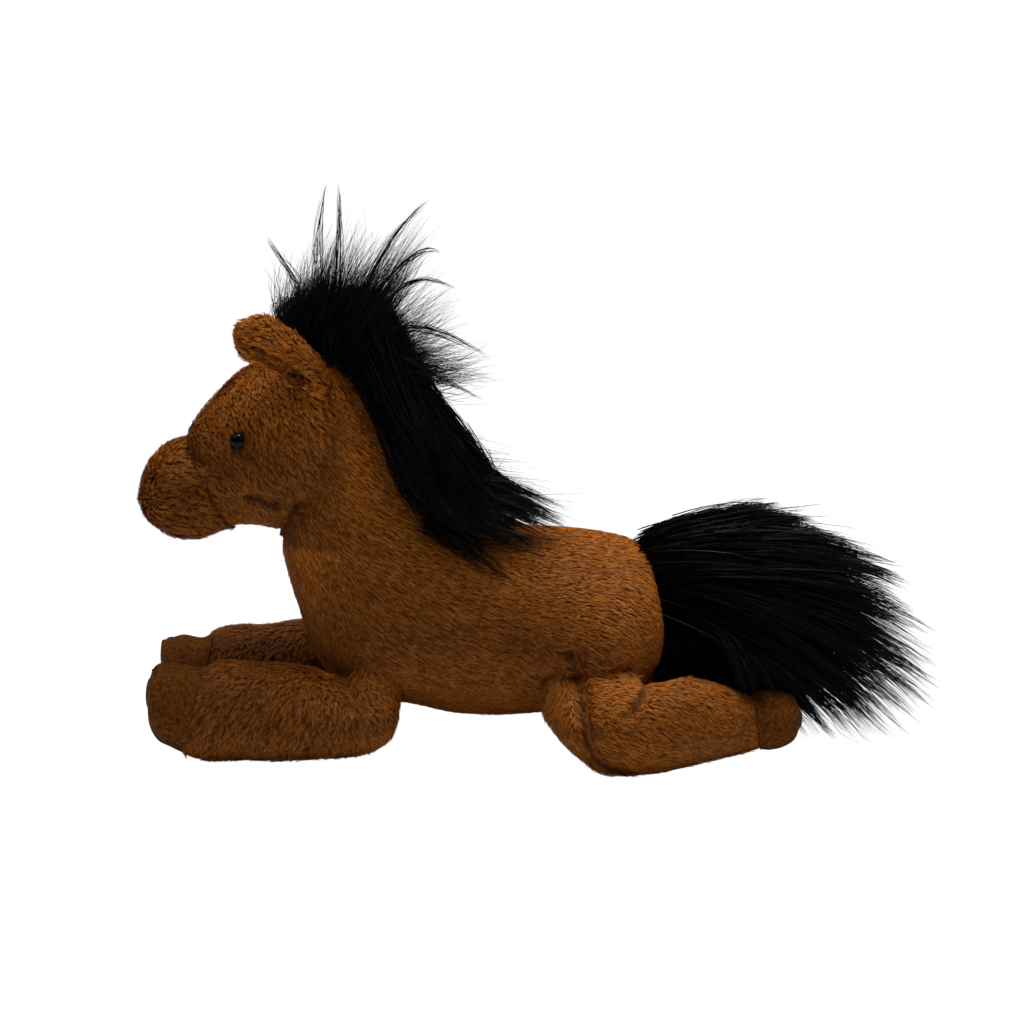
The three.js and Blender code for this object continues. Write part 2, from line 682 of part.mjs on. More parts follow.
// Legs: a pile skin, a suede hoof cup and stuffing through both, cut to the torso's side
const legKinds = {
  foreleg: {
    shares: forelegRibShares,
    seamShare: forelegSeamShare,
    originX: shoulderShare * backLength,
    length: forelegLength,
    depth: forelegDepth,
    width: forelegHalfWidth,
    stance: foreStance,
    pivot: shoulderPivotShares,
    angles: steps(-forelegSwingDegrees, forelegSwingDegrees, 2),
    tack: true,
  },
  hindleg: {
    shares: hindlegRibShares,
    seamShare: hindlegSeamShare,
    originX: 0,
    length: hindlegLength,
    depth: hindlegDepth,
    width: hindlegHalfWidth,
    stance: hindStance,
    pivot: hipPivotShares,
    angles: steps(-hindlegRaiseDegrees, hindlegLowerDegrees, 2),
    tack: false,
  },
};
const hindSwings = [];
for (const [kind, leg] of Object.entries(legKinds)) {
  for (const [side, sign] of Object.entries(eyeSides)) {
    const origin = new THREE.Vector3(leg.originX, 0, -floorFlat);
    const ribs = ribsFrom(
      leg.shares,
      origin,
      leg.length,
      leg.depth,
      leg.width,
      sign * leg.stance,
    );
    const pivot = new THREE.Vector3(
      leg.originX + leg.pivot[0] * leg.length,
      0,
      leg.pivot[1] * leg.depth,
    );
    const seam = pivot.clone().setY(sign * leg.stance);
    seamBends[`${side}_${kind}_swing`] = { at: seam, axis: yAxis };
    const torsoRoom = sweepRoom(torsoGrown, pivot, yAxis, leg.angles);
    const toSeam = pastRib(ribs, leg.seamShare, 1, 0);
    const fromSeam = pastRib(ribs, leg.seamShare, -1, -seamGap);
    const openTop = { start: true };
    const outer = loft(ribs, legRings, limbSides).subtract(torsoRoom).subtract(floorCut);
    const inner = loft(ribs, legInnerRings, limbSides, clothThickness, openTop);
    const core = loft(ribs, legInnerRings, limbSides, coreInset + seamGap, openTop);
    const shell = outer.subtract(inner);
    addPiece(`${side}_${kind}_skin`, shell.subtract(toSeam), "pile");
    addPiece(`${side}_${kind}_hoof`, shell.subtract(fromSeam), "suede");
    addPiece(`${side}_${kind}_filling`, core.subtract(torsoRoom), "stuffing");
    if (leg.tack) {
      const place = surfacePlace(ribs, hoofTackPlaceShares, sign);
      const bar = new THREE.CapsuleGeometry(threadRadius, hoofTackLength, 3, 8).rotateX(
        Math.PI / 2,
      );
      addPiece(`${side}_${kind}_tack`, setOn(place, bar, stitchRise), "thread");
    } else {
      const grown = loft(ribs, legRings, limbSides, -hairRoom);
      const turns = leg.angles.map((angle) => -angle);
      hindSwings.push(sweepRoom(grown, pivot, yAxis, turns));
    }
  }
}

// Tail: a plume of long hair that swings at its root, cut clear of the rump and the hind legs
const tailOrigin = new THREE.Vector3(tailRootShare * backLength, 0, 0);
const tailRibs = ribsFrom(tailRibShares, tailOrigin, tailLength, tailHeight, tailHalfWidth);
const tailPivot = new THREE.Vector3(tailPivotShare * backLength, 0, 0);
seamBends.tail_swing = { at: tailPivot, axis: zAxis };
const tailAngles = steps(-tailSwingDegrees, tailSwingDegrees, 4);
let tail = loft(tailRibs, tailRings, hairSides);
tail = tail.subtract(sweepRoom(torsoGrown, tailPivot, zAxis, tailAngles));
for (const legSwing of hindSwings) {
  tail = tail.subtract(sweepRoom(legSwing, tailPivot, zAxis, tailAngles));
}
addPiece("tail_hair", tail, "longHair");

// The origin is the middle of the horse's footprint, on the floor
const size = new THREE.Box3().setFromObject(horse);
const middle = size.getCenter(new THREE.Vector3());
const toOrigin = new THREE.Vector3(-middle.x, -middle.y, -size.min.z);
for (const piece of horse.children) piece.geometry.translate(...toOrigin);
for (const [name, { at, axis }] of Object.entries(seamBends)) {
  horse.userData[name] = { at: at.clone().add(toOrigin), axis };
}

export default horse;
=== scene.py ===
import math

import bpy
import numpy as np
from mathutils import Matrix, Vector


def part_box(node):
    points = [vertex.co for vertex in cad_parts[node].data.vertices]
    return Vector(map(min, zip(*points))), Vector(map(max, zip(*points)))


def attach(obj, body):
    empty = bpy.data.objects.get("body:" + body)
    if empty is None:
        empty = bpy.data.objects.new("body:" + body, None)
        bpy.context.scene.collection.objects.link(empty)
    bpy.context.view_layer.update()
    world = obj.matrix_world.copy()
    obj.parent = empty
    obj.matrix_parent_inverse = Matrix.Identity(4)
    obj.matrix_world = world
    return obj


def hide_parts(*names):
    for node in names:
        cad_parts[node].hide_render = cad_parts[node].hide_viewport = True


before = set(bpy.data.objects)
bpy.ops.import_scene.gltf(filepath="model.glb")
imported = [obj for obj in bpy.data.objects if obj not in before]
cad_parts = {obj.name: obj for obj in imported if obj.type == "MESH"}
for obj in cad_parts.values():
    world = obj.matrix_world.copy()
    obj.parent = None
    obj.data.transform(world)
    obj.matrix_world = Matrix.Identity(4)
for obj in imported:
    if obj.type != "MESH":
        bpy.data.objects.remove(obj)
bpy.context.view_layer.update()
scene = bpy.context.scene

# Camera: a side view from a little above
camera = bpy.data.objects.new("camera", bpy.data.cameras.new("camera"))
scene.collection.objects.link(camera)
CAMERA_TARGET = Vector((-0.0089, 0.0, 0.0936))
CAMERA_HEIGHT_ANGLE = math.radians(12)
CAMERA_DISTANCE = 1.5
CAMERA_SENSOR = 36
CAMERA_LENS = 131.84
camera.data.sensor_width = CAMERA_SENSOR
camera.data.lens = CAMERA_LENS
camera.location = CAMERA_TARGET + CAMERA_DISTANCE * Vector(
    (0, -math.cos(CAMERA_HEIGHT_ANGLE), math.sin(CAMERA_HEIGHT_ANGLE))
)
camera.rotation_euler = (math.pi / 2 - CAMERA_HEIGHT_ANGLE, 0, 0)
scene.camera = camera
scene.view_settings.view_transform = "Standard"

# Light: a wide soft panel overhead, three weak ones in front, behind and at the head, and faint
# even light from all round. The background is white to the camera only.
WHITE = (1, 1, 1, 1)
LIGHT_TARGET = Vector((0, 0, 0.08))
AMBIENT = 0.05
LAMPS = {
    "overhead_panel": {"at": (0.1, 0.12, 1.3), "size": 0.9, "power": 19.5},
    "front_panel": {"at": (-0.2, -1.5, 0.9), "size": 0.6, "power": 0.3},
    "rear_panel": {"at": (0.8, -0.7, 0.8), "size": 0.08, "power": 1.2},
    "head_panel": {"at": (-0.9, 0.0, 1.0), "size": 0.6, "power": 2.2},
}
for name, lamp in LAMPS.items():
    light = bpy.data.lights.new(name, "AREA")
    light.shape = "SQUARE"
    light.size = lamp["size"]
    light.energy = lamp["power"]
    panel = bpy.data.objects.new(name, light)
    scene.collection.objects.link(panel)
    panel.location = lamp["at"]
    aim = LIGHT_TARGET - panel.location
    panel.rotation_euler = aim.to_track_quat("-Z", "Y").to_euler()


def preset(node, **values):
    """Sets values on a node's own sockets, named with _ for a space."""
    for key, value in values.items():
        node.inputs[key.replace("_", " ")].default_value = value
    return node


def added(tree, kind, **values):
    """A new shader node with values on its sockets."""
    return preset(tree.nodes.new("ShaderNode" + kind), **values)


def mixed(tree, share, plain, seen, output):
    """Puts out plain, with seen mixed in by share."""
    either, out = added(tree, "MixShader"), added(tree, output)
    tree.links.new(share, either.inputs["Fac"])
    tree.links.new(plain.outputs[0], either.inputs[1])
    tree.links.new(seen.outputs[0], either.inputs[2])
    tree.links.new(either.outputs[0], out.inputs["Surface"])


world = bpy.data.worlds.new("studio")
scene.world = world
world.use_nodes = True
tree = world.node_tree
tree.nodes.clear()
rays = added(tree, "LightPath")
seen = added(tree, "Background", Color=WHITE)
around = added(tree, "Background", Color=WHITE, Strength=AMBIENT)
mixed(tree, rays.outputs["Is Camera Ray"], around, seen, "OutputWorld")

# Floor: white, with only a faint shadow left under the horse
FLOOR_SIZE = 12
FLOOR_GREY = (0.9, 0.9, 0.9, 1)
FLOOR_SHADOW = 0.12
FLOOR_GLOW = 1.14
floor_mesh = bpy.data.meshes.new("floor")
edge = FLOOR_SIZE / 2
floor_mesh.from_pydata(
    [(-edge, -edge, 0), (edge, -edge, 0), (edge, edge, 0), (-edge, edge, 0)], [], [(0, 1, 2, 3)]
)
floor = bpy.data.objects.new("floor", floor_mesh)
scene.collection.objects.link(floor)
paper = bpy.data.materials.new("paper")
paper.use_nodes = True
tree = paper.node_tree
tree.nodes.clear()
rays = added(tree, "LightPath")
matt = added(tree, "BsdfDiffuse", Color=FLOOR_GREY)
glow = added(tree, "Emission", Color=WHITE, Strength=FLOOR_GLOW)
share = added(tree, "Math")
share.operation = "MULTIPLY"
share.inputs[1].default_value = 1 - FLOOR_SHADOW
tree.links.new(rays.outputs["Is Camera Ray"], share.inputs[0])
mixed(tree, share.outputs[0], matt, glow, "OutputMaterial")
floor_mesh.materials.append(paper)

# Torso and neck: a sewn body of short pile, drawn through ribs as shares of its length, height
# and half width: upper X, upper Z, lower X, lower Z, half width. Lines and points given in
# millimetres lie in the middle plane as X and Z, with X from SHIFT.
SIDES = {"left": -1, "right": 1}
MM = 0.001
BACK_LENGTH = 0.100
WITHERS_HEIGHT = 0.100
BODY_HALF_WIDTH = 0.040
CLOTH_DEPTH = 0.0016
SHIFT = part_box("torso_skin")[1].x - 0.468 * BACK_LENGTH
TORSO_SHARES = [
    (0.468, 0.658, 0.468, 0.474, 0.3),
    (0.44, 0.769, 0.44, 0.372, 0.6),
    (0.368, 0.828, 0.384, 0.282, 0.775),
    (0.24, 0.863, 0.24, 0.188, 0.91),
    (0.08, 0.883, 0.06, 0.131, 0.96),
    (-0.1, 0.892, -0.16, 0.106, 0.975),
    (-0.24, 0.924, -0.36, 0.115, 0.96),
    (-0.352, 0.986, -0.54, 0.151, 0.925),
    (-0.44, 1.076, -0.76, 0.18, 0.875),
    (-0.508, 1.17, -0.908, 0.352, 0.8),
    (-0.56, 1.272, -0.984, 0.577, 0.725),
    (-0.608, 1.374, -1.032, 0.76, 0.66),
    (-0.672, 1.464, -1.036, 0.859, 0.625),
]


def ribs(shares, anchor, sizes, stance=0.0):
    """Ribs in metres: upper X, Z, lower X, Z, half width and sideways place."""
    rows = np.array(shares, float)
    if rows.shape[1] == 5:
        rows = np.c_[rows, np.zeros(len(rows))]
    length, height, width = sizes
    scale = np.array([length, height, length, height, width, stance])
    return rows * scale + np.array([anchor[0], anchor[1], anchor[0], anchor[1], 0, 0])


def glide(rows, shares):
    """Catmull-Rom curve through the rows, at shares of the way:
    P = p1 + t/2 (p2 - p0 + t (2 p0 - 5 p1 + 4 p2 - p3 + t (3 (p1 - p2) + p3 - p0)))."""
    rows = np.asarray(rows, float)
    line = np.vstack([2 * rows[0] - rows[1], rows, 2 * rows[-1] - rows[-2]])
    at = np.clip(np.asarray(shares, float), 0, 1) * (len(rows) - 1)
    i = np.minimum(at.astype(int), len(rows) - 2)
    t = (at - i)[..., None]
    p0, p1, p2, p3 = (line[i + k] for k in range(4))
    bend = 2 * p0 - 5 * p1 + 4 * p2 - p3 + t * (3 * (p1 - p2) + p3 - p0)
    return p1 + t / 2 * (p2 - p0 + t * bend)


def spine(rows, shares):
    """Centre, half height and half width of a form's oval section at shares of the way."""
    s = glide(rows, shares)
    none = np.zeros(s.shape[:-1])
    centre = np.stack([(s[..., 0] + s[..., 2]) / 2, s[..., 5], (s[..., 1] + s[..., 3]) / 2], -1)
    half = np.stack([(s[..., 0] - s[..., 2]) / 2, none, (s[..., 1] - s[..., 3]) / 2], -1)
    return centre, half, s[..., 4]


def unit(vectors):
    """The vectors at length 1."""
    return vectors / np.maximum(np.linalg.norm(vectors, axis=-1, keepdims=True), 1e-12)


def outward(grid):
    """Straight out of a grid of points that is closed round its second axis."""
    along = np.gradient(grid, axis=0)
    round_it = np.roll(grid, -1, 1) - np.roll(grid, 1, 1)
    normal = unit(np.cross(round_it, along))
    middle = grid.mean(axis=1, keepdims=True)
    return normal if ((grid - middle) * normal).sum() > 0 else -normal


def drawn_in(grid, depth):
    """A closed grid drawn in by depth: one for all points, or one for each."""
    return grid - outward(grid) * np.asarray(depth)[..., None]


def skin(rows, count, sides, first, last, start=0.0, end=1.0, dome=7):
    """Surface of a form: P(s, a) = centre + half cos a, with half width sin a across.
    Each end is closed by a dome as deep as first and last say."""
    centre, half, width = spine(rows, np.linspace(start, end, count))
    rise = np.linspace(0.46, 0, dome, endpoint=False) * np.pi

    def capped(at, inner, depth, rise):
        out = unit(centre[at] - centre[inner])
        near = np.cos(rise)
        place = centre[at] + depth * np.sin(rise)[:, None] * out
        return place, near[:, None] * half[at], near * width[at]

    a = capped(0, 1, first, rise)
    b = capped(-1, -2, last, rise[::-1])
    centre = np.vstack([a[0], centre, b[0]])
    half = np.vstack([a[1], half, b[1]])
    width = np.r_[a[2], width, b[2]]
    turn = np.linspace(0, 2 * np.pi, sides, endpoint=False)
    grid = centre[:, None] + half[:, None] * np.cos(turn)[None, :, None]
    grid[..., 1] += width[:, None] * np.sin(turn)
    return grid


def beside(points, lines, width):
    """How near points lie to lines of X, Z in millimetres: exp(-(d / width)^2)."""
    near = np.zeros(points.shape[:-1])
    flat = points[..., [0, 2]]
    for line in lines:
        line = np.array(line, float) * MM + np.array([SHIFT, 0])
        for a, b in zip(line[:-1], line[1:]):
            t = np.clip(((flat - a) @ (b - a)) / ((b - a) @ (b - a)), 0, 1)
            away = np.linalg.norm(flat - a - t[..., None] * (b - a), axis=-1)
            near = np.maximum(near, np.exp(-((away / width) ** 2)))
    return near


def pressed(grid, lines, depth, width):
    """Draws the sides of a grid in along lines of X, Z, by depth at most."""
    normal = outward(grid)
    facing = np.clip(np.abs(normal[..., 1]) * 3 - 0.4, 0, 1)
    return grid - normal * (beside(grid, lines, width) * facing * depth)[..., None]


def dimple(grid, point, depth, width):
    """Draws a grid in round a point by depth exp(-(d / width)^2)."""
    away = np.linalg.norm(grid - point, axis=-1)
    return drawn_in(grid, depth * np.exp(-((away / width) ** 2)))


def uneven(grid, size, depth, seed):
    """Stuffing never lies quite even: a few crossed waves, size long and depth high."""
    rng = np.random.default_rng(seed)
    height = np.zeros(grid.shape[:2])
    for _ in range(6):
        wave = unit(rng.normal(size=3)) * 2 * np.pi / (size * rng.uniform(0.7, 1.4))
        height += np.sin(grid @ wave + rng.uniform(0, 6.3))
    return drawn_in(grid, -height * depth / 3)


def swollen(grid, swells):
    """Swells a form on both sides, by rows of X, Y, Z, height and width."""
    for sign in SIDES.values():
        for x, y, z, height, width in swells:
            grid = dimple(grid, np.array([SHIFT + x, sign * y, z]), -height, width)
    return grid


def inside(places, margin, *forms):
    """Whether places lie deeper than margin in any form: u^2 + v^2 < 1 in some ring of it."""
    points = places.reshape(-1, 3)
    hit = np.zeros(len(points), bool)
    rings = np.linspace(0, 1, 64)
    for rows in forms:
        centre, half, width = spine(rows, rings)
        tall = np.linalg.norm(half, axis=1)
        up = half / tall[:, None]
        onward = np.stack([-up[:, 2], 0 * tall, up[:, 0]], 1)
        step = np.abs(np.gradient(glide(rows, rings), axis=0)[:, :4])
        gap = 0.8 * np.maximum(step[:, :2].sum(1), step[:, 2:].sum(1))
        q = points @ onward.T - (centre * onward).sum(1)
        u = (points @ up.T - (centre * up).sum(1)) / np.maximum(tall - margin, 1e-4)
        v = (points[:, 1:2] - centre[:, 1]) / np.maximum(width - margin, 1e-4)
        hit |= ((np.abs(q) < gap) & (u * u + v * v < 1)).any(1)
    return hit.reshape(places.shape[:-1])


def piece(name, points, faces, finish, body, slot, smooth=True, **values):
    """Makes a mesh of points and of arrays of faces, with point values, riding on a body."""
    mesh = bpy.data.meshes.new(name)
    sizes = np.concatenate([np.full(len(f), f.shape[1]) for f in faces])
    corners = np.concatenate([f.ravel() for f in faces])
    mesh.vertices.add(len(points))
    mesh.vertices.foreach_set("co", np.ascontiguousarray(points, np.float32).ravel())
    mesh.loops.add(len(corners))
    mesh.loops.foreach_set("vertex_index", corners.astype(np.int32))
    mesh.polygons.add(len(sizes))
    mesh.polygons.foreach_set("loop_start", (np.cumsum(sizes) - sizes).astype(np.int32))
    mesh.polygons.foreach_set("use_smooth", np.full(len(sizes), smooth))
    for key, value in values.items():
        if key == "uv":
            layer = mesh.uv_layers.new(name="OFBake")
            layer.data.foreach_set("uv", value.astype(np.float32).ravel())
        else:
            data = mesh.attributes.new(key, "FLOAT", "POINT").data
            data.foreach_set("value", value.astype(np.float32).ravel())
    mesh.update(calc_edges=True)
    mesh.materials.append(finish)
    made = bpy.data.objects.new(name, mesh)
    scene.collection.objects.link(made)
    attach(made, body)
    return made


def closed(grid):
    """Points and faces of a grid closed round its second axis, with a fan at both ends."""
    rows, sides = grid.shape[:2]
    points = np.vstack([grid.reshape(-1, 3), grid[0].mean(0), grid[-1].mean(0)])
    ring = np.arange(sides)
    after = (ring + 1) % sides
    row = np.arange(rows - 1)[:, None] * sides
    a, b = (row + ring).ravel(), (row + after).ravel()
    quads = np.stack([a, b, b + sides, a + sides], 1)
    last = (rows - 1) * sides
    tips = np.full(sides, rows * sides)
    fans = np.stack([[tips, after, ring], [tips + 1, last + ring, last + after]])
    fans = fans.transpose(0, 2, 1).reshape(-1, 3)
    p = points[quads]
    volume = (p[:, 0] * np.cross(p[:, 1], p[:, 2])).sum()
    volume += (p[:, 0] * np.cross(p[:, 2], p[:, 3])).sum()
    if volume < 0:
        quads, fans = quads[:, ::-1], fans[:, ::-1]
    return points, [quads, fans]


def solid(name, grid, finish, body, slot, node):
    """A closed form in place of its CAD node."""
    points, faces = closed(grid)
    made = piece(name, points, faces, finish, body, slot)
    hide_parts(node)
    return made


def look(name, colour, roughness, **inputs):
    """A new material with its shader, and values set on the shader's own sockets."""
    made = bpy.data.materials.new(name)
    made.use_nodes = True
    shader = made.node_tree.nodes["Principled BSDF"]
    preset(shader, Base_Color=(*colour, 1), Roughness=roughness, **inputs)
    return made, shader


def colour_ramp(tree, source, *stops):
    """A colour for each value of source: straight lines between places and colours."""
    ramp = added(tree, "ValToRGB")
    for element, (place, colour) in zip(ramp.color_ramp.elements, stops):
        element.position = place
        element.color = (*colour, 1)
    tree.links.new(source, ramp.inputs["Fac"])
    return ramp.outputs["Color"]


def grained(name, colour, dark, roughness, scale, depth, detail=4, **inputs):
    """A material mottled between colour and dark, and uneven, on Object coordinates."""
    made, shader = look(name, colour, roughness, **inputs)
    tree = made.node_tree
    place = added(tree, "TexCoord")
    noise = added(tree, "TexNoise", Scale=scale, Detail=detail)
    tree.links.new(place.outputs["Object"], noise.inputs["Vector"])
    mottled = colour_ramp(tree, noise.outputs["Fac"], (0.3, dark), (0.7, colour))
    tree.links.new(mottled, shader.inputs["Base Color"])
    bump = added(tree, "Bump", Distance=depth)
    tree.links.new(noise.outputs["Fac"], bump.inputs["Height"])
    tree.links.new(bump.outputs["Normal"], shader.inputs["Normal"])
    return made


def fibre_look(name, root, tip, roughness, **inputs):
    """A material for blades and strands: root to tip colour by reach, times the blade's tone."""
    made, shader = look(name, tip, roughness, **inputs)
    tree = made.node_tree
    reach, tone = added(tree, "Attribute"), added(tree, "Attribute")
    reach.attribute_name, tone.attribute_name = "reach", "tone"
    fading = colour_ramp(tree, reach.outputs["Fac"], (0, root), (0.75, tip))
    scale = added(tree, "VectorMath")
    scale.operation = "SCALE"
    tree.links.new(fading, scale.inputs[0])
    tree.links.new(tone.outputs["Fac"], scale.inputs["Scale"])
    tree.links.new(scale.outputs["Vector"], shader.inputs["Base Color"])
    return made


def uv_cells(count):
    """One small upright cell of the UV square for each blade: its corner, width and height."""
    columns = math.ceil(math.sqrt(3 * count))
    rows = math.ceil(count / columns)
    i = np.arange(count)
    return np.stack([(i % columns) / columns, (i // columns) / rows], 1), 1 / columns, 1 / rows


# The roots' darker colour is painted shade deep in the pile
PILE_ROOT = (0.12, 0.025, 0.0020)
PILE_TIP = (0.46, 0.143, 0.0140)
BACKING = (0.15, 0.036, 0.003)
BACKING_DARK = (0.11, 0.026, 0.002)
# Painted light and shade: pile that faces up or down is lighter, as if lit from above and from the
# floor, and pile that faces sideways darker
PAINTED_SIDE_SHADE = 0.70
PAINTED_TOP_LIGHT = 0.38
pile_look = fibre_look("short_pile", PILE_ROOT, PILE_TIP, 0.65, Specular_IOR_Level=0.14)
cloth_look = grained(
    "pile_backing", BACKING, BACKING_DARK, 0.95, scale=900, depth=0.0004, Specular_IOR_Level=0.05
)
FLOOR_ROOM = 0.0002
ROOT_DEPTH = 0.0003
# Clumps: how far a cell reaches along the lean and across it, and the waves that bend it
CLUMP_SHAPE = np.array([2.6, 0.8, 0.8])
CLUMP_WAVES = (900, 430)
CLUMP_BEND = 0.35
CELL_PRIMES = np.array([73856093, 19349663, 83492791])
# How far clumps, blades and waves vary in tone, more on the sides than on top
CLUMP_MOTTLE = 0.17
BLADE_MOTTLE = 0.24
WAVE_MOTTLE = 0.025
SIDE_MOTTLE = 1.7
TOP_MOTTLE = 0.75
TONE_LIMITS = (0.52, 1.7)


def pile(name, grid, flow, body, keep, tone, seed, density=4.6, length=3.0, lift=0.26, width=0.34,
         clump=1.1, pull=0.26, ruffle=0.2):
    """Short pile on a form, in millimetres: density blades a square millimetre lean along flow
    and draw together in clumps. keep says which roots stay and tone how light their blades are."""

    def corners(field):
        beyond = np.roll(field, -1, 1)
        return [field[:-1], beyond[:-1], beyond[1:], field[1:]]

    def spread(field):
        return sum(w * c.reshape(-1, 3)[cell] for w, c in zip(weights, corners(field)))

    rng = np.random.default_rng(seed)
    a, b, c, d = corners(grid)
    area = (np.linalg.norm(np.cross(c - a, d - b), axis=-1) / 2).ravel()
    count = int(area.sum() * 1e6 * density)
    cell = rng.choice(len(area), count, p=area / area.sum())
    u, v = rng.random((2, count, 1))
    weights = [(1 - u) * (1 - v), u * (1 - v), u * v, (1 - u) * v]
    root, normal = spread(grid), unit(spread(outward(grid)))
    kept = keep(root)
    root, normal = root[kept], normal[kept]
    count = len(root)
    lean = flow(root)
    lean = unit(lean - (lean * normal).sum(1, keepdims=True) * normal)
    # Clumps are wavy cells, longer along the lean
    turn, _ = np.linalg.qr(np.column_stack([lean.mean(axis=0), rng.normal(size=(3, 2))]))
    bend = np.sin(root @ turn * CLUMP_WAVES[0]) + np.sin(root @ turn.T * CLUMP_WAVES[1])
    patch = clump * MM * CLUMP_SHAPE
    bins = np.floor(root @ turn / patch + CLUMP_BEND * bend).astype(np.int64)
    _, lock = np.unique(bins @ CELL_PRIMES, return_inverse=True)
    lock = lock.ravel()
    groups = lock.max() + 1
    # Each blade is a kite of root, two knees and tip, and strays with its clump and by itself
    shared = rng.normal(size=(groups, 4))[lock]
    own = rng.normal(size=(count, 4))
    across = np.cross(normal, lean)
    sway = ruffle * (shared[:, :1] + 0.4 * own[:, :1])
    lean = unit(lean * np.cos(sway) + across * np.sin(sway))
    across = np.cross(normal, lean)
    long = length * MM * np.clip(1 + 0.12 * shared[:, 1:2] + 0.12 * own[:, 1:2], 0.5, 1.5)
    high = lift * np.clip(1 + 0.25 * shared[:, 2:3] + 0.2 * own[:, 2:3], 0.2, 1.8)
    tip = root + long * unit(lean + high * normal)
    sums = [np.bincount(lock, tip[:, k], groups) for k in range(3)]
    middle = (np.stack(sums, 1) / np.bincount(lock, minlength=groups)[:, None])[lock]
    drawn = middle - tip
    tip += (drawn - (drawn * lean).sum(1, keepdims=True) * lean) * pull
    root = root - normal * ROOT_DEPTH
    knee = (root + tip) / 2 + normal * long * 0.12
    roll = 0.25 * own[:, 3:4]
    flat = unit(across * np.cos(roll) + normal * np.sin(roll)) * width * MM / 2
    points = np.stack([root, knee + flat, tip, knee - flat], 1)
    points[..., 2] = np.maximum(points[..., 2], FLOOR_ROOM)
    faces = [np.arange(count * 4).reshape(-1, 4)]
    upward = np.abs(normal[:, 2])
    mottle = CLUMP_MOTTLE * shared[:, 3] + BLADE_MOTTLE * own[:, 3]
    mottle = mottle + WAVE_MOTTLE * bend[:, :2].sum(1)
    shade = np.clip(1 + mottle * (SIDE_MOTTLE - TOP_MOTTLE * upward), *TONE_LIMITS)
    # painted light and shade by how far the pile faces up or down
    shade *= PAINTED_SIDE_SHADE + PAINTED_TOP_LIGHT * upward
    shade = shade * tone(root)
    corner, wide, tall = uv_cells(count)
    spots = np.array([(0.5, 0.02), (0.98, 0.5), (0.5, 0.98), (0.02, 0.5)])
    uv = corner[:, None] + spots * np.array([wide, tall])
    piece(
        name, points.reshape(-1, 3), faces, pile_look, body, "short_pile", smooth=False,
        uv=uv.reshape(-1, 2), reach=np.tile([0, 0.5, 1, 0.5], count), tone=np.repeat(shade, 4),
    )


def stuffed(name, grid, body, node, finish=cloth_look, slot="short_pile"):
    """The sewn cloth of a form, in place of its CAD node."""
    solid(name, grid, finish, body, slot, node)


FIBRE = (0.8, 0.78, 0.73)
FIBRE_DARK = (0.62, 0.6, 0.56)
stuffing_look = grained("stuffing", FIBRE, FIBRE_DARK, 1.0, scale=300, depth=0.001)
STUFFING_DEPTH = 0.0056


def shrunk(rows, by):
    """The rows of a form drawn in all round by a length, and by less where they are thin."""
    rows = rows.copy()
    high = np.linalg.norm(rows[:, :2] - rows[:, 2:4], axis=1, keepdims=True)
    up = unit(rows[:, :2] - rows[:, 2:4]) * np.minimum(by, high * 0.35)
    rows[:, :2] -= up
    rows[:, 2:4] += up
    rows[:, 4] = np.maximum(rows[:, 4] - by, rows[:, 4] * 0.3)
    return rows


def stuffing(name, rows, body, node, start=0.04, end=0.97, by=STUFFING_DEPTH, room=None):
    """The filling of a form, inside its cloth and the cloth's creases, hollow round any room."""
    inner = skin(shrunk(rows, by), 60, 40, first=0.001, last=0.001, start=start, end=end)
    points, faces = closed(inner)
    if room is not None:
        hollow, walls = closed(room)
        faces += [wall[:, ::-1] + len(points) for wall in walls]
        points = np.vstack([points, hollow])
    made = piece(name, points, faces, stuffing_look, body, "stuffing")
    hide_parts(node)


def heading(*stops):
    """A flow that turns with X: stops are X in millimetres and the direction X, Y, Z there."""
    at = np.array([s[0] for s in stops]) * MM + SHIFT
    ways = np.array([s[1:] for s in stops], float)

    def flow(root):
        return np.stack([np.interp(root[:, 0], at, ways[:, k]) for k in range(3)], 1)

    return flow


torso_rows = ribs(TORSO_SHARES, (SHIFT, 0), (BACK_LENGTH, WITHERS_HEIGHT, BODY_HALF_WIDTH))
THIGH_FOLD = [(10, 47), (12, 41), (14, 35), (15, 26), (16, 17), (19, 9), (31, 2)]
THIGH_FRONT = [(10, 47), (5, 41), (1, 35), (-1, 28)]
RUMP_FOLD = [(24, 36), (28, 39), (33, 41)]
# Over thigh and shoulder
TORSO_SWELLS = [(0.024, 0.036, 0.043, 0.017, 0.024), (-0.066, 0.033, 0.036, 0.006, 0.016)]
torso = skin(torso_rows, 170, 150, first=0.004, last=0.012)
torso = uneven(swollen(torso, TORSO_SWELLS), size=0.05, depth=0.0005, seed=3)
torso = pressed(torso, [THIGH_FOLD, RUMP_FOLD], depth=0.0034, width=0.0020)
torso = pressed(torso, [THIGH_FRONT], depth=0.0014, width=0.0030)
torso = drawn_in(torso, CLOTH_DEPTH)
stuffed("torso_cloth", torso, "torso", "torso_skin")
POUCH_ROOM = 0.0004
pouch_low, pouch_high = (np.array(corner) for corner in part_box("belly_pellet_pouch"))
down = np.linspace(0.02, 0.98, 20)[:, None] * np.pi
turn = np.linspace(0, 2 * np.pi, 28, endpoint=False)
ball = np.stack(
    [np.sin(down) * np.cos(turn), np.sin(down) * np.sin(turn), np.cos(down) + 0 * turn], -1
)
pouch_room = (pouch_low + pouch_high) / 2 + ball * ((pouch_high - pouch_low) / 2 + POUCH_ROOM)
stuffing("torso_stuffing", torso_rows, "torso", "torso_filling", room=pouch_room)

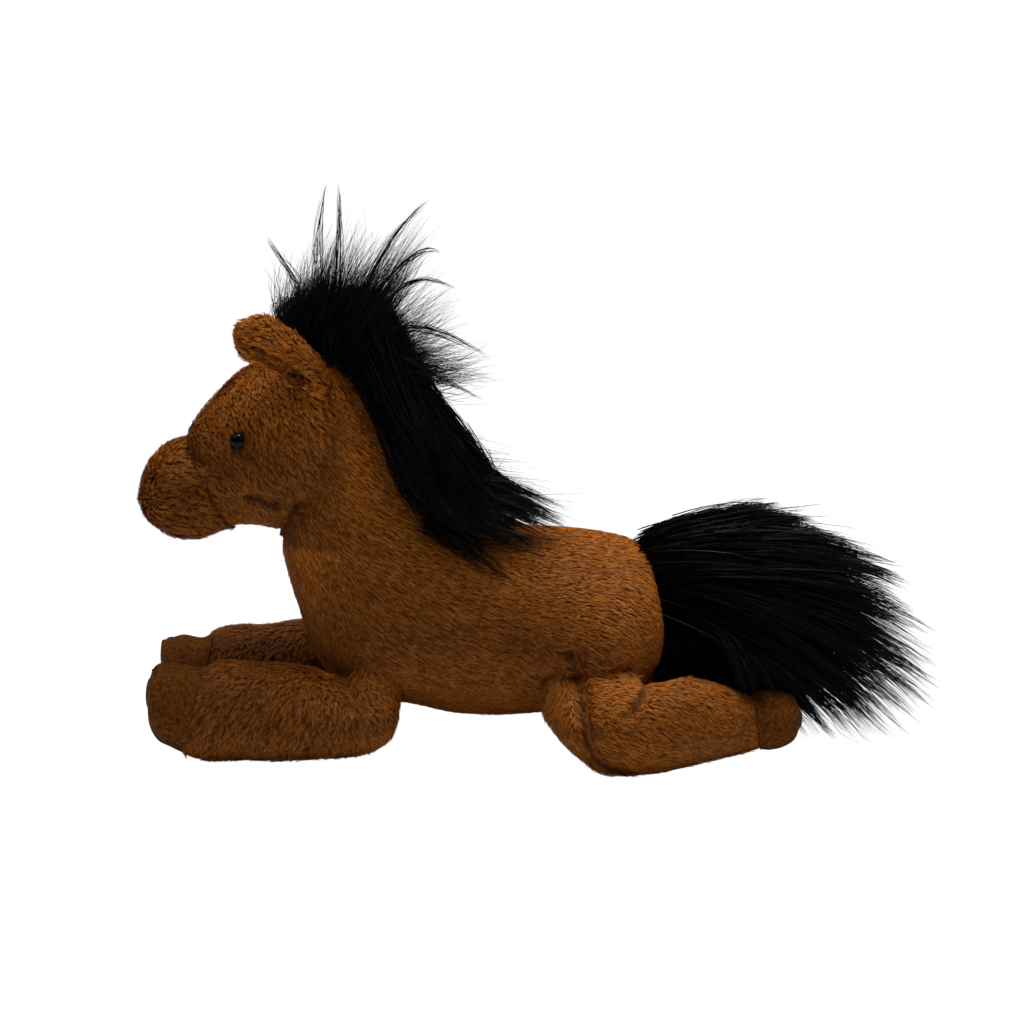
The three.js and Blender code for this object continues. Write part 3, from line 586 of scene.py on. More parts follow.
# Legs: rows as for the torso, with the sideways place as a share of the stance. The fore legs
# reach forward and the hind legs lie folded back.
FORELEG_SIZES = (0.102, 0.040, 0.020)
FORE_STANCE = 0.031
SHOULDER = (SHIFT - 0.054, -0.0005)
FORELEG_SHARES = [
    (-0.18, 1.1, -0.02, 1.05, 0.45, 0.8),
    (-0.224, 0.9, 0.002, 0.825, 0.8, 0.74),
    (-0.252, 0.775, -0.002, 0.525, 0.95, 0.84),
    (-0.28, 0.775, -0.04, 0.263, 0.975, 0.96),
    (-0.3, 0.85, -0.127, 0.088, 0.975, 1),
    (-0.353, 0.95, -0.252, 0.02, 0.975, 1),
    (-0.459, 0.995, -0.439, 0, 0.975, 1),
    (-0.576, 1.015, -0.588, 0, 0.975, 1),
    (-0.693, 1.015, -0.744, 0, 0.975, 1),
    (-0.775, 0.95, -0.85, 0.075, 0.93, 1),
    (-0.83, 0.975, -0.908, 0.15, 0.9, 1),
    (-0.908, 1, -0.955, 0.225, 0.85, 1),
    (-0.962, 0.965, -0.986, 0.375, 0.7, 1),
    (-0.99, 0.838, -0.996, 0.55, 0.4, 1),
]
HINDLEG_SIZES = (0.100, 0.040, 0.020)
HIND_STANCE = 0.051
HIP = (SHIFT, -0.0005)
HINDLEG_SHARES = [
    (0.12, 1.35, 0.32, 1.425, 0.4, 0.6),
    (0.043, 1.1, 0.383, 1.25, 0.75, 0.63),
    (0, 0.85, 0.391, 1.05, 0.95, 0.74),
    (0, 0.588, 0.387, 0.9, 1, 0.87),
    (0.058, 0.358, 0.376, 0.82, 1, 0.98),
    (0.14, 0.165, 0.376, 0.783, 1, 1),
    (0.252, 0, 0.407, 0.89, 1, 1),
    (0.403, 0, 0.476, 0.938, 1, 0.97),
    (0.538, 0.03, 0.577, 0.95, 0.95, 0.89),
    (0.674, 0.075, 0.685, 0.85, 0.85, 0.78),
    (0.79, 0.113, 0.79, 0.725, 0.75, 0.66),
    (0.87, 0.15, 0.84, 0.675, 0.7, 0.6),
    (0.91, 0.1, 0.885, 0.688, 0.7, 0.575),
    (0.96, 0.12, 0.952, 0.69, 0.68, 0.555),
    (1.008, 0.188, 1.008, 0.625, 0.55, 0.53),
    (1.032, 0.3, 1.032, 0.5, 0.25, 0.52),
]
SUEDE = (0.155, 0.046, 0.0022)
SUEDE_DARK = (0.040, 0.011, 0.0006)
suede_look = grained(
    "suede", SUEDE, SUEDE_DARK, 0.9, scale=640, depth=0.0010, detail=6, Specular_IOR_Level=0.1
)
# Given in metres: the hips lie close in, the crook is deep and the hock low. The far fore
# leg lies a little higher at the body, its hoof a little lower.
HIP_TUCK = [0.80, 0.86, 0.94]
HIP_NARROWING = 0.8
CROOK_SHIFT = [(0, 0.0028), (0.001, 0.0046), (0.002, 0.0056), (0.0015, 0.0015)]
HOCK_DROP = [0.0004, 0.0012, 0.0018, 0.0016]
ELBOW_LIFT = [0.003, 0.004, 0.002]
FAR_ELBOW_LIFT = [0.003, 0.007, 0.0075, 0.0055, 0.003]
FAR_HOOF_DROP = 0.0045
leg_rows = {}
for side, sign in SIDES.items():
    fore = ribs(FORELEG_SHARES, SHOULDER, FORELEG_SIZES, sign * FORE_STANCE)
    fore[2:5, 1] += ELBOW_LIFT
    hind = ribs(HINDLEG_SHARES, HIP, HINDLEG_SIZES, sign * HIND_STANCE)
    hind[:3, 5] *= HIP_TUCK
    hind[:2, 4] *= HIP_NARROWING
    hind[3:7, 2:4] += CROOK_SHIFT
    hind[8:12, 1] -= HOCK_DROP
    leg_rows[side, "foreleg"], leg_rows[side, "hindleg"] = fore, hind
leg_rows["right", "foreleg"][2:7, 1] += FAR_ELBOW_LIFT
leg_rows["right", "foreleg"][10:13, 1] -= FAR_HOOF_DROP
LEG_STUFFING_DEPTH = 0.0085
LEG_FLOOR_ROOM = 0.0008
HOOF_CLOTH_DEPTH = 0.0003
HOOF_GAP = 0.004
LEG_PILE_DEPTH = 0.002
LEG_PILE_HEIGHT = 0.0006
# The seam at the hoof as a share of the way, the folds, the first one's depth and how dark the
# painted shade along the folds is
LEGS = {
    "foreleg": {
        "seam": 0.6923, "seed": 5, "fold": 0.0012, "painted_crease_shade": 0.4,
        "lines": [[(-93, 17), (-92, 12), (-91, 5)], [(-88, 40), (-81, 34), (-73, 29)]],
        "pile": {"length": 3.1, "lift": 0.3, "pull": 0.36, "ruffle": 0.3, "clump": 1.0},
    },
    "hindleg": {
        "seam": 0.7333, "seed": 6, "fold": 0.0034, "painted_crease_shade": 0.72,
        "lines": [THIGH_FOLD, [(40, 41), (40, 38), (38, 34), (35, 29)]],
        "pile": {"length": 3.1, "lift": 0.2, "width": 0.29, "ruffle": 0.15, "clump": 0.85},
    },
}
# Painted light and shade as places and values: darker low down, by height, and lighter over the
# thigh, by X from SHIFT. The fore legs are darker, with a painted shadow below their top, and the
# far fore leg darker still
LEG_PAINTED_SHADE = [(0, 0.84), (0.02, 0.88), (0.04, 0.9)]
LEG_PAINTED_LIGHT_ALONG = [(0, 1), (0.03, 1.16), (0.055, 0.96)]
FORELEG_PAINTED_SHADE = 0.84
FORELEG_SHADOW = 0.24
SHADOW_HEIGHTS = [(0.018, 0), (0.027, 1), (0.034, 1), (0.038, 0)]
SHADOW_ALONG = [(-0.110, 1), (-0.085, 0)]
FAR_LEG_PAINTED_SHADE = [(-0.01, 1), (0.01, 0.92)]
# How wide the painted shade along creases is
CREASE_WIDTH = 0.0009


def beside_torso(root):
    """Roots that aren't buried in the body or pressed flat on the floor."""
    return ~inside(root, LEG_PILE_DEPTH, torso_rows) & (root[:, 2] > LEG_PILE_HEIGHT)


def ramped(values, stops):
    """Values read off straight lines between stops of place and value."""
    places, levels = np.array(stops, float).T
    return np.interp(values, places, levels)


def dimmed(points, lines, share, width):
    """Painted shade beside lines: share less along their middle."""
    return 1 - share * beside(points, lines, width)


def leg_tone(kind):
    """Painted light and shade on the legs: darker underneath, lighter over the thigh, a painted
    shadow below the fore legs' top, and painted shade along their creases.
    """

    def tone(root):
        shade = ramped(root[:, 2], LEG_PAINTED_SHADE) * ramped(root[:, 0] - SHIFT, LEG_PAINTED_LIGHT_ALONG)
        if kind == "foreleg":
            shadow = ramped(root[:, 2], SHADOW_HEIGHTS) * ramped(root[:, 0] - SHIFT, SHADOW_ALONG)
            shade = shade * (FORELEG_PAINTED_SHADE - FORELEG_SHADOW * shadow)
            shade = shade * ramped(root[:, 1], FAR_LEG_PAINTED_SHADE)
        return shade * dimmed(root, LEGS[kind]["lines"], LEGS[kind]["painted_crease_shade"], CREASE_WIDTH)

    return tone


leg_flow = {
    "foreleg": heading((-150, -0.5, 0, -0.6), (-100, -0.4, 0, -0.8), (-60, 0.5, 0, -0.7)),
    "hindleg": heading((12, 0, 0, -1), (17, 0.9, 0, -0.45), (90, 0.9, 0, -0.35)),
}
for (side, kind), rows in leg_rows.items():
    body, leg_is = f"{side}_{kind}", LEGS[kind]
    stuffing(f"{body}_stuffing", rows, body, f"{body}_filling", start=0.2, by=LEG_STUFFING_DEPTH)
    leg = skin(rows, 100, 90, first=0.004, last=0.0035, end=leg_is["seam"])
    leg = uneven(leg, size=0.03, depth=0.0006, seed=leg_is["seed"])
    leg = pressed(leg, leg_is["lines"][:1], depth=leg_is["fold"], width=0.0020)
    leg = pressed(leg, leg_is["lines"][1:], depth=0.0016, width=0.0018)
    leg = drawn_in(leg, CLOTH_DEPTH)
    leg[..., 2] = np.maximum(leg[..., 2], LEG_FLOOR_ROOM)
    stuffed(f"{body}_cloth", leg, body, f"{body}_skin")
    pile(
        f"{body}_pile", leg, leg_flow[kind], body, beside_torso, leg_tone(kind), seed=11,
        **leg_is["pile"],
    )
    hoof = skin(rows, 40, 72, first=0.002, last=0.0012, start=leg_is["seam"] + HOOF_GAP)
    hoof = uneven(hoof, size=0.02, depth=0.0003, seed=7)
    hoof = drawn_in(hoof, HOOF_CLOTH_DEPTH)
    hoof[..., 2] = np.maximum(hoof[..., 2], FLOOR_ROOM)
    stuffed(f"{body}_hoof_cup", hoof, body, f"{body}_hoof", suede_look, "suede")


TORSO_PILE_DEPTH = 0.003


def torso_seen(half):
    """Roots of one half of the torso that the legs don't cover."""

    def keep(root):
        return (root[:, 1] * half >= 0) & ~inside(root, TORSO_PILE_DEPTH, *leg_rows.values())

    return keep


NECK_SEAM = [(-84, 143), (-82, 132), (-82, 120), (-85, 110), (-91, 101), (-100, 94), (-104, 89)]
TORSO_LINES = [THIGH_FOLD, RUMP_FOLD, [(-57, 22), (-54, 14)], [(8, 47), (12, 46)]]
# Painted light and shade on the torso: by height, lighter on the belly and the upper neck and
# darker on the sides, and lighter on the rump and the chest's front
TORSO_PAINTED_LIGHT = [(0.012, 1.18), (0.03, 1.0), (0.05, 0.78), (0.09, 0.98), (0.12, 1.22)]
RUMP_PAINTED_LIGHT = [(0.010, 1), (0.035, 1.12)]
CHEST_ALONG = [(-0.094, 1), (-0.070, 0)]
CHEST_TOP = 0.085
CHEST_PAINTED_LIGHT = 0.8


def torso_tone(root):
    """Painted light and shade: the sides are darker and the belly, upper neck, chest and rump
    lighter, with painted shade along the creases and the seam at the head.
    """
    chest = ramped(root[:, 0] - SHIFT, CHEST_ALONG) * (root[:, 2] < CHEST_TOP)
    shade = ramped(root[:, 2], TORSO_PAINTED_LIGHT) * (1 + CHEST_PAINTED_LIGHT * chest)
    shade = shade * ramped(root[:, 0] - SHIFT, RUMP_PAINTED_LIGHT)
    shade = shade * dimmed(root, TORSO_LINES, share=0.72, width=CREASE_WIDTH)
    return shade * dimmed(root, [NECK_SEAM], share=0.3, width=0.0035)


torso_flow = heading(
    (-110, 0.45, 0, -0.8), (-70, 0.75, 0, -0.6), (-30, 1, 0, -0.3), (50, 1, 0, -0.4)
)
for side, sign in SIDES.items():
    pile(
        f"{side}_torso_pile", torso, torso_flow, "torso", torso_seen(sign), torso_tone, seed=21,
        density=4.7, length=3.1, lift=0.19, width=0.28, clump=0.8, ruffle=0.13,
    )

# Head and muzzle: the muzzle is its own panel, sewn on round the front of the head
HEAD_SIZES = (0.100, 0.075, 0.0285)
MUZZLE_SIZES = (0.028, 0.040, 0.020)
HEAD_SHARES = [
    (0.142, 0.447, -0.174, -0.387, 0.912),
    (0.046, 0.573, -0.154, -0.398, 0.965),
    (-0.066, 0.606, -0.182, -0.398, 1),
    (-0.186, 0.585, -0.218, -0.393, 0.982),
    (-0.286, 0.523, -0.258, -0.382, 0.93),
    (-0.378, 0.437, -0.298, -0.377, 0.86),
    (-0.454, 0.327, -0.33, -0.377, 0.79),
    (-0.522, 0.213, -0.354, -0.379, 0.719),
    (-0.57, 0.114, -0.378, -0.387, 0.667),
]
MUZZLE_SHARES = [
    (-0.514, 0.44, 0.143, -0.52, 1),
    (-0.686, 0.358, -0.114, -0.578, 1.05),
    (-0.829, 0.245, -0.429, -0.563, 1.025),
    (-0.929, 0.123, -0.686, -0.48, 0.9),
    (-0.979, 0, -0.871, -0.368, 0.65),
    (-0.996, -0.103, -0.979, -0.225, 0.3),
]


def seam_centre(row):
    """Middle of a rib, as X and Z."""
    return (row[0] + row[2]) / 2, (row[1] + row[3]) / 2


neck = seam_centre(torso_rows[-1])
head_rows = np.vstack([torso_rows[-1:], ribs(HEAD_SHARES, neck, HEAD_SIZES)])
nose = seam_centre(head_rows[-1])
muzzle_rows = np.vstack([head_rows[-1:], ribs(MUZZLE_SHARES, nose, MUZZLE_SIZES)])
EYE_PLACE = (0.65, 0.415)
NOSTRIL_PLACE = (0.567, 0.24)


def surface_place(rows, place, sign):
    """Point and outward direction of a form at share and half turn, as the CAD part sets it."""
    step = 0.01

    def at(share, turn):
        centre, half, width = spine(rows, np.array([share]))
        point = centre[0] + half[0] * math.cos(turn * math.pi)
        point[1] += sign * width[0] * math.sin(turn * math.pi)
        return point

    along, turn = place
    point = at(along, turn)
    onward = at(min(along + step, 1), turn) - at(along - step, turn)
    out = unit(np.cross(onward, at(along, turn + step) - at(along, turn - step)))
    inner = spine(rows, np.array([along]))[0][0]
    return point, out if out @ (point - inner) > 0 else -out


CHEEK_POCKET = [(-93, 103), (-87, 107), (-85, 112)]
GUSSET = [(-113, 155), (-120, 149), (-126, 143), (-132, 138), (-137, 133), (-140, 128), (-143, 123)]
FACE_CREASES = [[(-140, 120), (-135, 117)], [(-138, 106), (-135, 104)], [(-116, 105), (-105, 102)]]
JAW_SWELLS = [(-0.080, 0.024, 0.108, 0.0025, 0.014)]
eyes = {side: surface_place(head_rows, EYE_PLACE, sign) for side, sign in SIDES.items()}
nostrils = {side: surface_place(muzzle_rows, NOSTRIL_PLACE, sign) for side, sign in SIDES.items()}
head = swollen(skin(head_rows, 120, 120, first=0.006, last=0.003), JAW_SWELLS)
head = uneven(head, size=0.03, depth=0.0005, seed=8)
head = pressed(head, [GUSSET], depth=0.0008, width=0.0012)
head = pressed(head, FACE_CREASES, depth=0.0022, width=0.0022)
muzzle = skin(muzzle_rows, 60, 90, first=0.003, last=0.0009, end=0.96)
muzzle = uneven(muzzle, size=0.02, depth=0.0003, seed=9)
muzzle = pressed(muzzle, FACE_CREASES, depth=0.0022, width=0.002)
for side in SIDES:
    head = dimple(head, eyes[side][0], depth=0.0008, width=0.005)
    muzzle = dimple(muzzle, nostrils[side][0], depth=0.0030, width=0.0026)
head, muzzle = drawn_in(head, CLOTH_DEPTH), drawn_in(muzzle, CLOTH_DEPTH)
stuffed("head_cloth", head, "head", "head_skin")
stuffed("muzzle_cloth", muzzle, "head", "muzzle_skin")
face_rows = np.vstack([head_rows, muzzle_rows[1:]])
stuffing("head_stuffing", face_rows, "head", "head_filling", start=0.14, end=0.88)
# Painted light by height and at the nose's front: the chin darker, the forehead and the nose
# lighter
HEAD_PAINTED_LIGHT = [(0.085, 0.70), (0.10, 0.71), (0.125, 0.86), (0.14, 1.26)]
NOSE_PAINTED_LIGHT = [(-0.156, 1.35), (-0.146, 1)]
HEAD_PILE_DEPTH = 0.004
EYE_CLEARING = 0.0030
NOSTRIL_CLEARING = 0.0020


def away(root, point):
    """How far roots lie from a point."""
    return np.linalg.norm(root - point, axis=1)


def clear_of_face(root):
    """Roots off the eyes and nostrils, and not buried in the neck."""
    clear = ~inside(root, HEAD_PILE_DEPTH, torso_rows)
    for side in SIDES:
        clear &= away(root, eyes[side][0]) > EYE_CLEARING
        clear &= away(root, nostrils[side][0]) > NOSTRIL_CLEARING
    return clear


def socket_shade(root, point, share, width):
    """Painted shade round a point: share less at its middle."""
    return 1 - share * np.exp(-((away(root, point) / width) ** 2))


def head_tone(root):
    """Painted light and shade: the chin darker, the forehead and the nose's front lighter, and
    painted shade along the seams and creases, in the cheek pocket and round the eyes and nostrils.
    """
    shade = ramped(root[:, 2], HEAD_PAINTED_LIGHT)
    shade = shade * dimmed(root, [NECK_SEAM], share=0.35, width=0.0030)
    shade = shade * dimmed(root, [GUSSET], share=0.3, width=0.0010)
    shade = shade * dimmed(root, FACE_CREASES, share=0.7, width=0.0012)
    shade = shade * ramped(root[:, 0] - SHIFT, NOSE_PAINTED_LIGHT)
    shade = shade * dimmed(root, [CHEEK_POCKET], share=0.25, width=0.005)
    for side in SIDES:
        shade = shade * socket_shade(root, nostrils[side][0], share=0.5, width=0.0032)
        shade = shade * socket_shade(root, eyes[side][0], share=0.35, width=0.005)
    return shade


head_flow = heading(
    (-150, 0.8, 0, 0.2), (-135, 0.7, 0, -0.3), (-112, 0.4, 0, -0.8), (-70, 0.5, 0, -0.8)
)
for side, sign in SIDES.items():
    pile(
        f"{side}_head_pile", head, head_flow, "head",
        lambda root: clear_of_face(root) & (root[:, 1] * sign >= 0), head_tone, seed=31,
        length=3.0, lift=0.29, width=0.32, pull=0.3, ruffle=0.3, clump=0.9,
    )
pile(
    "muzzle_pile", muzzle, head_flow, "head", clear_of_face, head_tone, seed=32,
    length=3.1, lift=0.38, pull=0.36, ruffle=0.45,
)

# Eyes: glossy domed beads on a post
EYE_RADIUS = 0.0033
EYE_BULGE = 0.0027
EYE_POST_RADIUS = 0.0013
EYE_POST_LENGTH = 0.009
EYE_DEPTH = 0.0008
EYE_TURN = np.array([-0.4, 0, 0.05])
bead_look, _ = look("bead", (0.0012, 0.0010, 0.0009), 0.07, Specular_IOR_Level=0.12)


def turned(profile, sides, point, out, lift):
    """A solid of revolution from radius and height pairs, set on a point along out."""
    side_way = unit(np.cross(out, [0.3, 0.2, 0.93]))
    other = np.cross(out, side_way)
    angle = np.linspace(0, 2 * np.pi, sides, endpoint=False)
    radius, height = np.array(profile).T
    ring = np.cos(angle)[:, None] * side_way + np.sin(angle)[:, None] * other
    return point + radius[:, None, None] * ring + (height[:, None, None] + lift) * out


rise = np.linspace(0.49, 0, 16) * np.pi
bead = [(EYE_RADIUS * math.cos(r), EYE_BULGE * math.sin(r)) for r in rise]
bead += [(EYE_POST_RADIUS, 0.0), (EYE_POST_RADIUS, -EYE_POST_LENGTH)]
for side in SIDES:
    point, out = eyes[side]
    bead_eye = turned(bead, 40, point, unit(out + EYE_TURN), -EYE_DEPTH)
    solid(f"{side}_bead_eye", bead_eye, bead_look, "head", "eye_bead", f"{side}_eye")

# Ears: a leaf folded along its length, with its lining in the fold
EAR_LENGTH = 0.038
EAR_HALF_THICKNESS = 0.0075
EAR_ANCHOR = (0.03, 0.393, 0.7)
EAR_DROOPS = {"left": 0.0, "right": math.radians(20)}
EAR_SHARES = [
    (0.08, 0.14, -0.06, -0.13, 0.53, 0),
    (-0.07, 0.41, -0.25, 0, 0.8, 0.06),
    (-0.25, 0.6, -0.41, 0.12, 0.93, 0.11),
    (-0.43, 0.76, -0.6, 0.23, 1, 0.15),
    (-0.62, 0.87, -0.8, 0.34, 0.93, 0.17),
    (-0.77, 0.87, -0.92, 0.46, 0.67, 0.2),
    (-0.87, 0.8, -0.95, 0.58, 0.33, 0.21),
]
EAR_FOLD_TURN = 0.68 * np.pi
EAR_FOLD_WIDTH = 0.13
EAR_FOLD_DEPTH = 0.0026
EAR_CLOTH_DEPTH = 0.0021
EAR_PILE_DEPTH = 0.003
EAR_TONE = 1.25
# How dark the painted shade along the ear's crease is
EAR_CREASE_SHADE = 0.5
EAR_CREASE = [(-118, 167), (-106, 163), (-96, 156), (-93, 149)]
LINING = (0.15, 0.045, 0.006)
LINING_DARK = (0.1, 0.028, 0.004)
LINING_DEPTH = 0.0064
LINING_HALF_THICKNESS = 0.0007
LINING_HALF_WIDTH = 0.0012
lining_look = grained(
    "ear_lining", LINING, LINING_DARK, 0.95, scale=900, depth=0.0003, Sheen_Weight=0.05
)
ear_flow = heading((-130, -0.7, 0, 0.3), (-100, -0.6, 0, 0.2), (-70, -0.6, 0, 0.4))
for side, sign in SIDES.items():
    body = f"{side}_ear"
    anchor = [neck[k] + EAR_ANCHOR[k] * HEAD_SIZES[k] for k in (0, 1)]
    rows = ribs(EAR_SHARES, anchor, (EAR_LENGTH, EAR_LENGTH, EAR_HALF_THICKNESS), sign * EAR_LENGTH)
    rows[:, 5] += sign * EAR_ANCHOR[2] * HEAD_SIZES[2]
    droop = -EAR_DROOPS[side]
    for k in (0, 2):
        x, z = rows[:, k] - anchor[0], rows[:, k + 1] - anchor[1]
        rows[:, k] = anchor[0] + x * math.cos(droop) + z * math.sin(droop)
        rows[:, k + 1] = anchor[1] - x * math.sin(droop) + z * math.cos(droop)
    ear = skin(rows, 60, 80, first=0.002, last=0.0065, end=0.74)
    turns = np.linspace(0, 2 * np.pi, 80, endpoint=False)
    off = np.abs(turns - (EAR_FOLD_TURN if sign > 0 else 2 * np.pi - EAR_FOLD_TURN))
    fold = np.exp(-((off / EAR_FOLD_WIDTH) ** 2))
    # The fold fades out towards both ends
    ring = np.arange(len(ear))
    ends = np.clip(np.minimum(ring - 10, len(ear) - 9 - ring) / 8, 0, 1)
    ear = drawn_in(ear, EAR_FOLD_DEPTH * fold[None, :] * ends[:, None])
    if side == "left":
        ear = pressed(ear, [EAR_CREASE], depth=0.0018, width=0.0016)
    ear = uneven(ear, size=0.015, depth=0.0004, seed=10)
    ear = drawn_in(ear, EAR_CLOTH_DEPTH)
    solid(f"{side}_ear_cloth", ear, cloth_look, body, "short_pile", f"{side}_ear_outer")
    centre, half, wide = spine(rows, np.linspace(0.15, 0.85, 24))
    deep = centre + half * math.cos(EAR_FOLD_TURN)
    deep[:, 1] += sign * (wide * math.sin(EAR_FOLD_TURN) - LINING_DEPTH)
    strip = np.linspace(0, 2 * np.pi, 12, endpoint=False)
    thick = unit(half)[:, None] * LINING_HALF_THICKNESS
    lining = deep[:, None] + thick * np.cos(strip)[None, :, None]
    lining[..., 1] += LINING_HALF_WIDTH * np.sin(strip)
    solid(f"{side}_ear_fold_lining", lining, lining_look, body, "ear_lining", f"{side}_ear_lining")
    pile(
        f"{side}_ear_pile", ear, ear_flow, body,
        lambda root: ~inside(root, EAR_PILE_DEPTH, head_rows),
        lambda root: EAR_TONE - EAR_CREASE_SHADE * beside(root, [EAR_CREASE], width=0.0012),
        seed=41, length=2.8, lift=0.3, ruffle=0.3,
    )

# Long hair: dark cores with locks of ribbon strands over them. All lock paths are curves
# through a root, a middle and a tip.
HAIR_ROOT = (0.0012, 0.0011, 0.0010)
HAIR_TIP = (0.0032, 0.0029, 0.0026)
HAIR_DARK = (0.0006, 0.0005, 0.0005)
HAIR_FLOOR_ROOM = 0.0004
CORE_FLOOR_ROOM = 0.001
CORE_ROOM = 0.003
CORE_STEPS = 14
CORE_STEP = 0.12
STRAND_STEPS = 8
hair_look = fibre_look("long_hair", HAIR_ROOT, HAIR_TIP, 0.45, Specular_IOR_Level=0.09)
core_look = grained(
    "hair_backing", HAIR_ROOT, HAIR_DARK, 0.95, scale=400, depth=0.0005, Specular_IOR_Level=0.02
)


def upright(flat, sideways):
    """Points from X and Z pairs, with X from SHIFT, and their sideways places."""
    return np.stack([flat[:, 0] + SHIFT, sideways, flat[:, 1]], 1)


def traced(line, shares):
    """X and Z pairs at shares of the way along a line in millimetres."""
    return glide(np.array(line) * MM, shares)


def arcs(root, middle, tip, count=STRAND_STEPS):
    """Curves through three points: P(t) = (1-t)(1-2t) R + 4t(1-t) M + t(2t-1) T."""
    t = np.linspace(0, 1, count)[None, :, None]
    r, m, e = root[:, None], middle[:, None], tip[:, None]
    return (1 - t) * (1 - 2 * t) * r + 4 * t * (1 - t) * m + t * (2 * t - 1) * e


def locks(paths, per_lock, rng, spread, gather, wave=0.0006, taper=1.3):
    """Strands round each lock's path: apart by spread at the root, drawn in by gather to the tip,
    late where taper is high."""
    count, steps = paths.shape[:2]
    t = np.linspace(0, 1, steps)[None, :, None]
    path = np.repeat(paths, per_lock, axis=0)
    aside = rng.normal(size=(count * per_lock, 1, 3)) * spread
    part = aside * (1 - gather * t**taper)
    shorter = rng.uniform(0.82, 1.0, (count * per_lock, 1, 1))
    phase = rng.uniform(0, 6.3, (count * per_lock, 1, 3))
    swing = wave * np.sin(phase + t * rng.uniform(3, 8, (count * per_lock, 1, 1))) * t
    at = t * shorter * (steps - 1)
    low = np.minimum(at.astype(int), steps - 2)
    mix = at - low
    i = np.arange(count * per_lock)[:, None, None]
    near = path[i[..., 0], low[..., 0]] * (1 - mix) + path[i[..., 0], low[..., 0] + 1] * mix
    return near + part + swing


def drifted(paths, rng, spread, push=(0, 0, 0), power=2):
    """Strands that bend off towards the tip: P + t^power (spread noise + push)."""
    drift = rng.normal(size=(len(paths), 1, 3)) * spread + np.array(push)
    return paths + (np.linspace(0, 1, STRAND_STEPS) ** power)[None, :, None] * drift


def strands(name, paths, width, body, seed, shade=1.0):
    """Flat pointed ribbons along paths, one cell of the UV square each."""
    rng = np.random.default_rng(seed)
    count, steps = paths.shape[:2]
    paths = paths.copy()
    paths[..., 2] = np.maximum(paths[..., 2], HAIR_FLOOR_ROOM)
    t = np.linspace(0, 1, steps)
    along = unit(np.gradient(paths, axis=1))
    flat = unit(np.cross(along, unit(rng.normal(size=(count, 1, 3)))))
    half = np.reshape(width, (-1, 1, 1)) / 2 * (1 - 0.75 * t**2)[None, :, None]
    half = half * rng.uniform(0.6, 1.3, (count, 1, 1))
    left, right = paths - flat * half, paths + flat * half
    pairs = np.stack([left[:, :-1], right[:, :-1]], 2).reshape(count, -1, 3)
    points = np.concatenate([pairs, paths[:, -1:]], 1)
    size = points.shape[1]
    first = np.arange(count)[:, None, None] * size
    k = np.arange(steps - 2)[None, :, None] * 2
    quads = (first + k + np.array([0, 1, 3, 2])).reshape(-1, 4)
    ends = first[:, 0] + np.array([size - 3, size - 2, size - 1])
    corner, wide, tall = uv_cells(count)
    across = np.stack([np.tile([0.1, 0.9], steps - 1), np.repeat(t[:-1], 2)], 1)
    spots = np.vstack([across, [0.5, 1.0]]) * np.array([1, 0.9]) + np.array([0, 0.05])
    uv = corner[:, None] + spots * np.array([wide, tall])
    order = (k[0] + np.array([0, 1, 3, 2])).reshape(-1)
    uv = np.concatenate([uv[:, order].reshape(-1, 2), uv[:, size - 3:].reshape(-1, 2)])
    reach = np.tile(np.r_[np.repeat(t[:-1], 2), 1.0], count)
    tone = np.repeat(rng.uniform(0.6, 1.5, count), size) * shade
    piece(
        name, points.reshape(-1, 3), [quads, ends], hair_look, body, "long_hair",
        uv=uv, reach=reach, tone=tone,
    )


def sunk_core(name, rows, node, body, avoid=(), by=0.004, end=1.0, last=0.006):
    """The dark middle of a mass of hair: its form drawn in, and clear of the pieces beside it."""
    grid = skin(shrunk(rows, by), 60, 48, first=0.001, last=last, end=end, dome=14)
    centre = grid.mean(axis=1, keepdims=True)
    for _ in range(CORE_STEPS):
        hit = inside(grid, -CORE_ROOM, *avoid)[..., None]
        grid = np.where(hit, grid + (centre - grid) * CORE_STEP, grid)
    grid[..., 2] = np.maximum(grid[..., 2], CORE_FLOOR_ROOM)
    solid(name, grid, core_look, body, "long_hair", node)


# Tail: a plume from the root at the rump, rising, then falling to the floor
TAIL_SIZES = (0.110, 0.100, 0.032)
TAIL_SHARES = [
    (0, 0.814, 0.044, 0.577, 0.375),
    (0.091, 0.904, 0.058, 0.372, 0.625),
    (0.218, 0.961, 0.182, 0.258, 0.875),
    (0.382, 0.973, 0.345, 0.168, 1),
    (0.545, 0.928, 0.527, 0.098, 1),
    (0.691, 0.863, 0.673, 0.078, 0.906),
    (0.818, 0.773, 0.818, 0.07, 0.75),
    (0.927, 0.618, 0.945, 0.106, 0.53),
    (1, 0.454, 1.011, 0.209, 0.25),
    (1.05, 0.36, 1.055, 0.29, 0.1),
]
tail_rows = ribs(TAIL_SHARES, (SHIFT + 0.040, 0), TAIL_SIZES)
hind_rows = [leg_rows["left", "hindleg"], leg_rows["right", "hindleg"]]
sunk_core("tail_core", tail_rows, "tail_hair", "tail", hind_rows, by=0.010, end=0.34, last=0.034)
# Tips round the plume's far edge from top to bottom, as X and Z in millimetres
TAIL_TIPS = [
    (92, 97), (106, 92), (122, 84), (138, 75), (151, 61), (159, 42), (163, 20), (156, 5),
    (140, 0), (123, -1), (107, 2), (92, 6), (76, 12), (62, 17), (53, 24),
]
TAIL_ROOTS = [(42, 82), (48, 46)]
TAIL_HEART = (100, 50)
TAIL_TONE = 0.72
TAIL_STRAND = 0.00043
TAIL_LOCKS = 1100
TAIL_STRAYS = 0.07
# The locks lie round an upright oval, and reach shares of the way to their tips
TAIL_SIDE_TURN = 0.42
TAIL_ROUNDNESS = 0.94
TAIL_SLOPE = 0.36
TAIL_FULLNESS = 1.03
TAIL_REACHES = (0.3, 1.1)
TAIL_LONGEST = 1.02
TAIL_ROOT_HALF_WIDTH = 0.012
TAIL_MIDDLE_HALF_WIDTH = 0.029
TAIL_TIP_HALF_WIDTH = 0.030
TAIL_NARROWING = 0.008
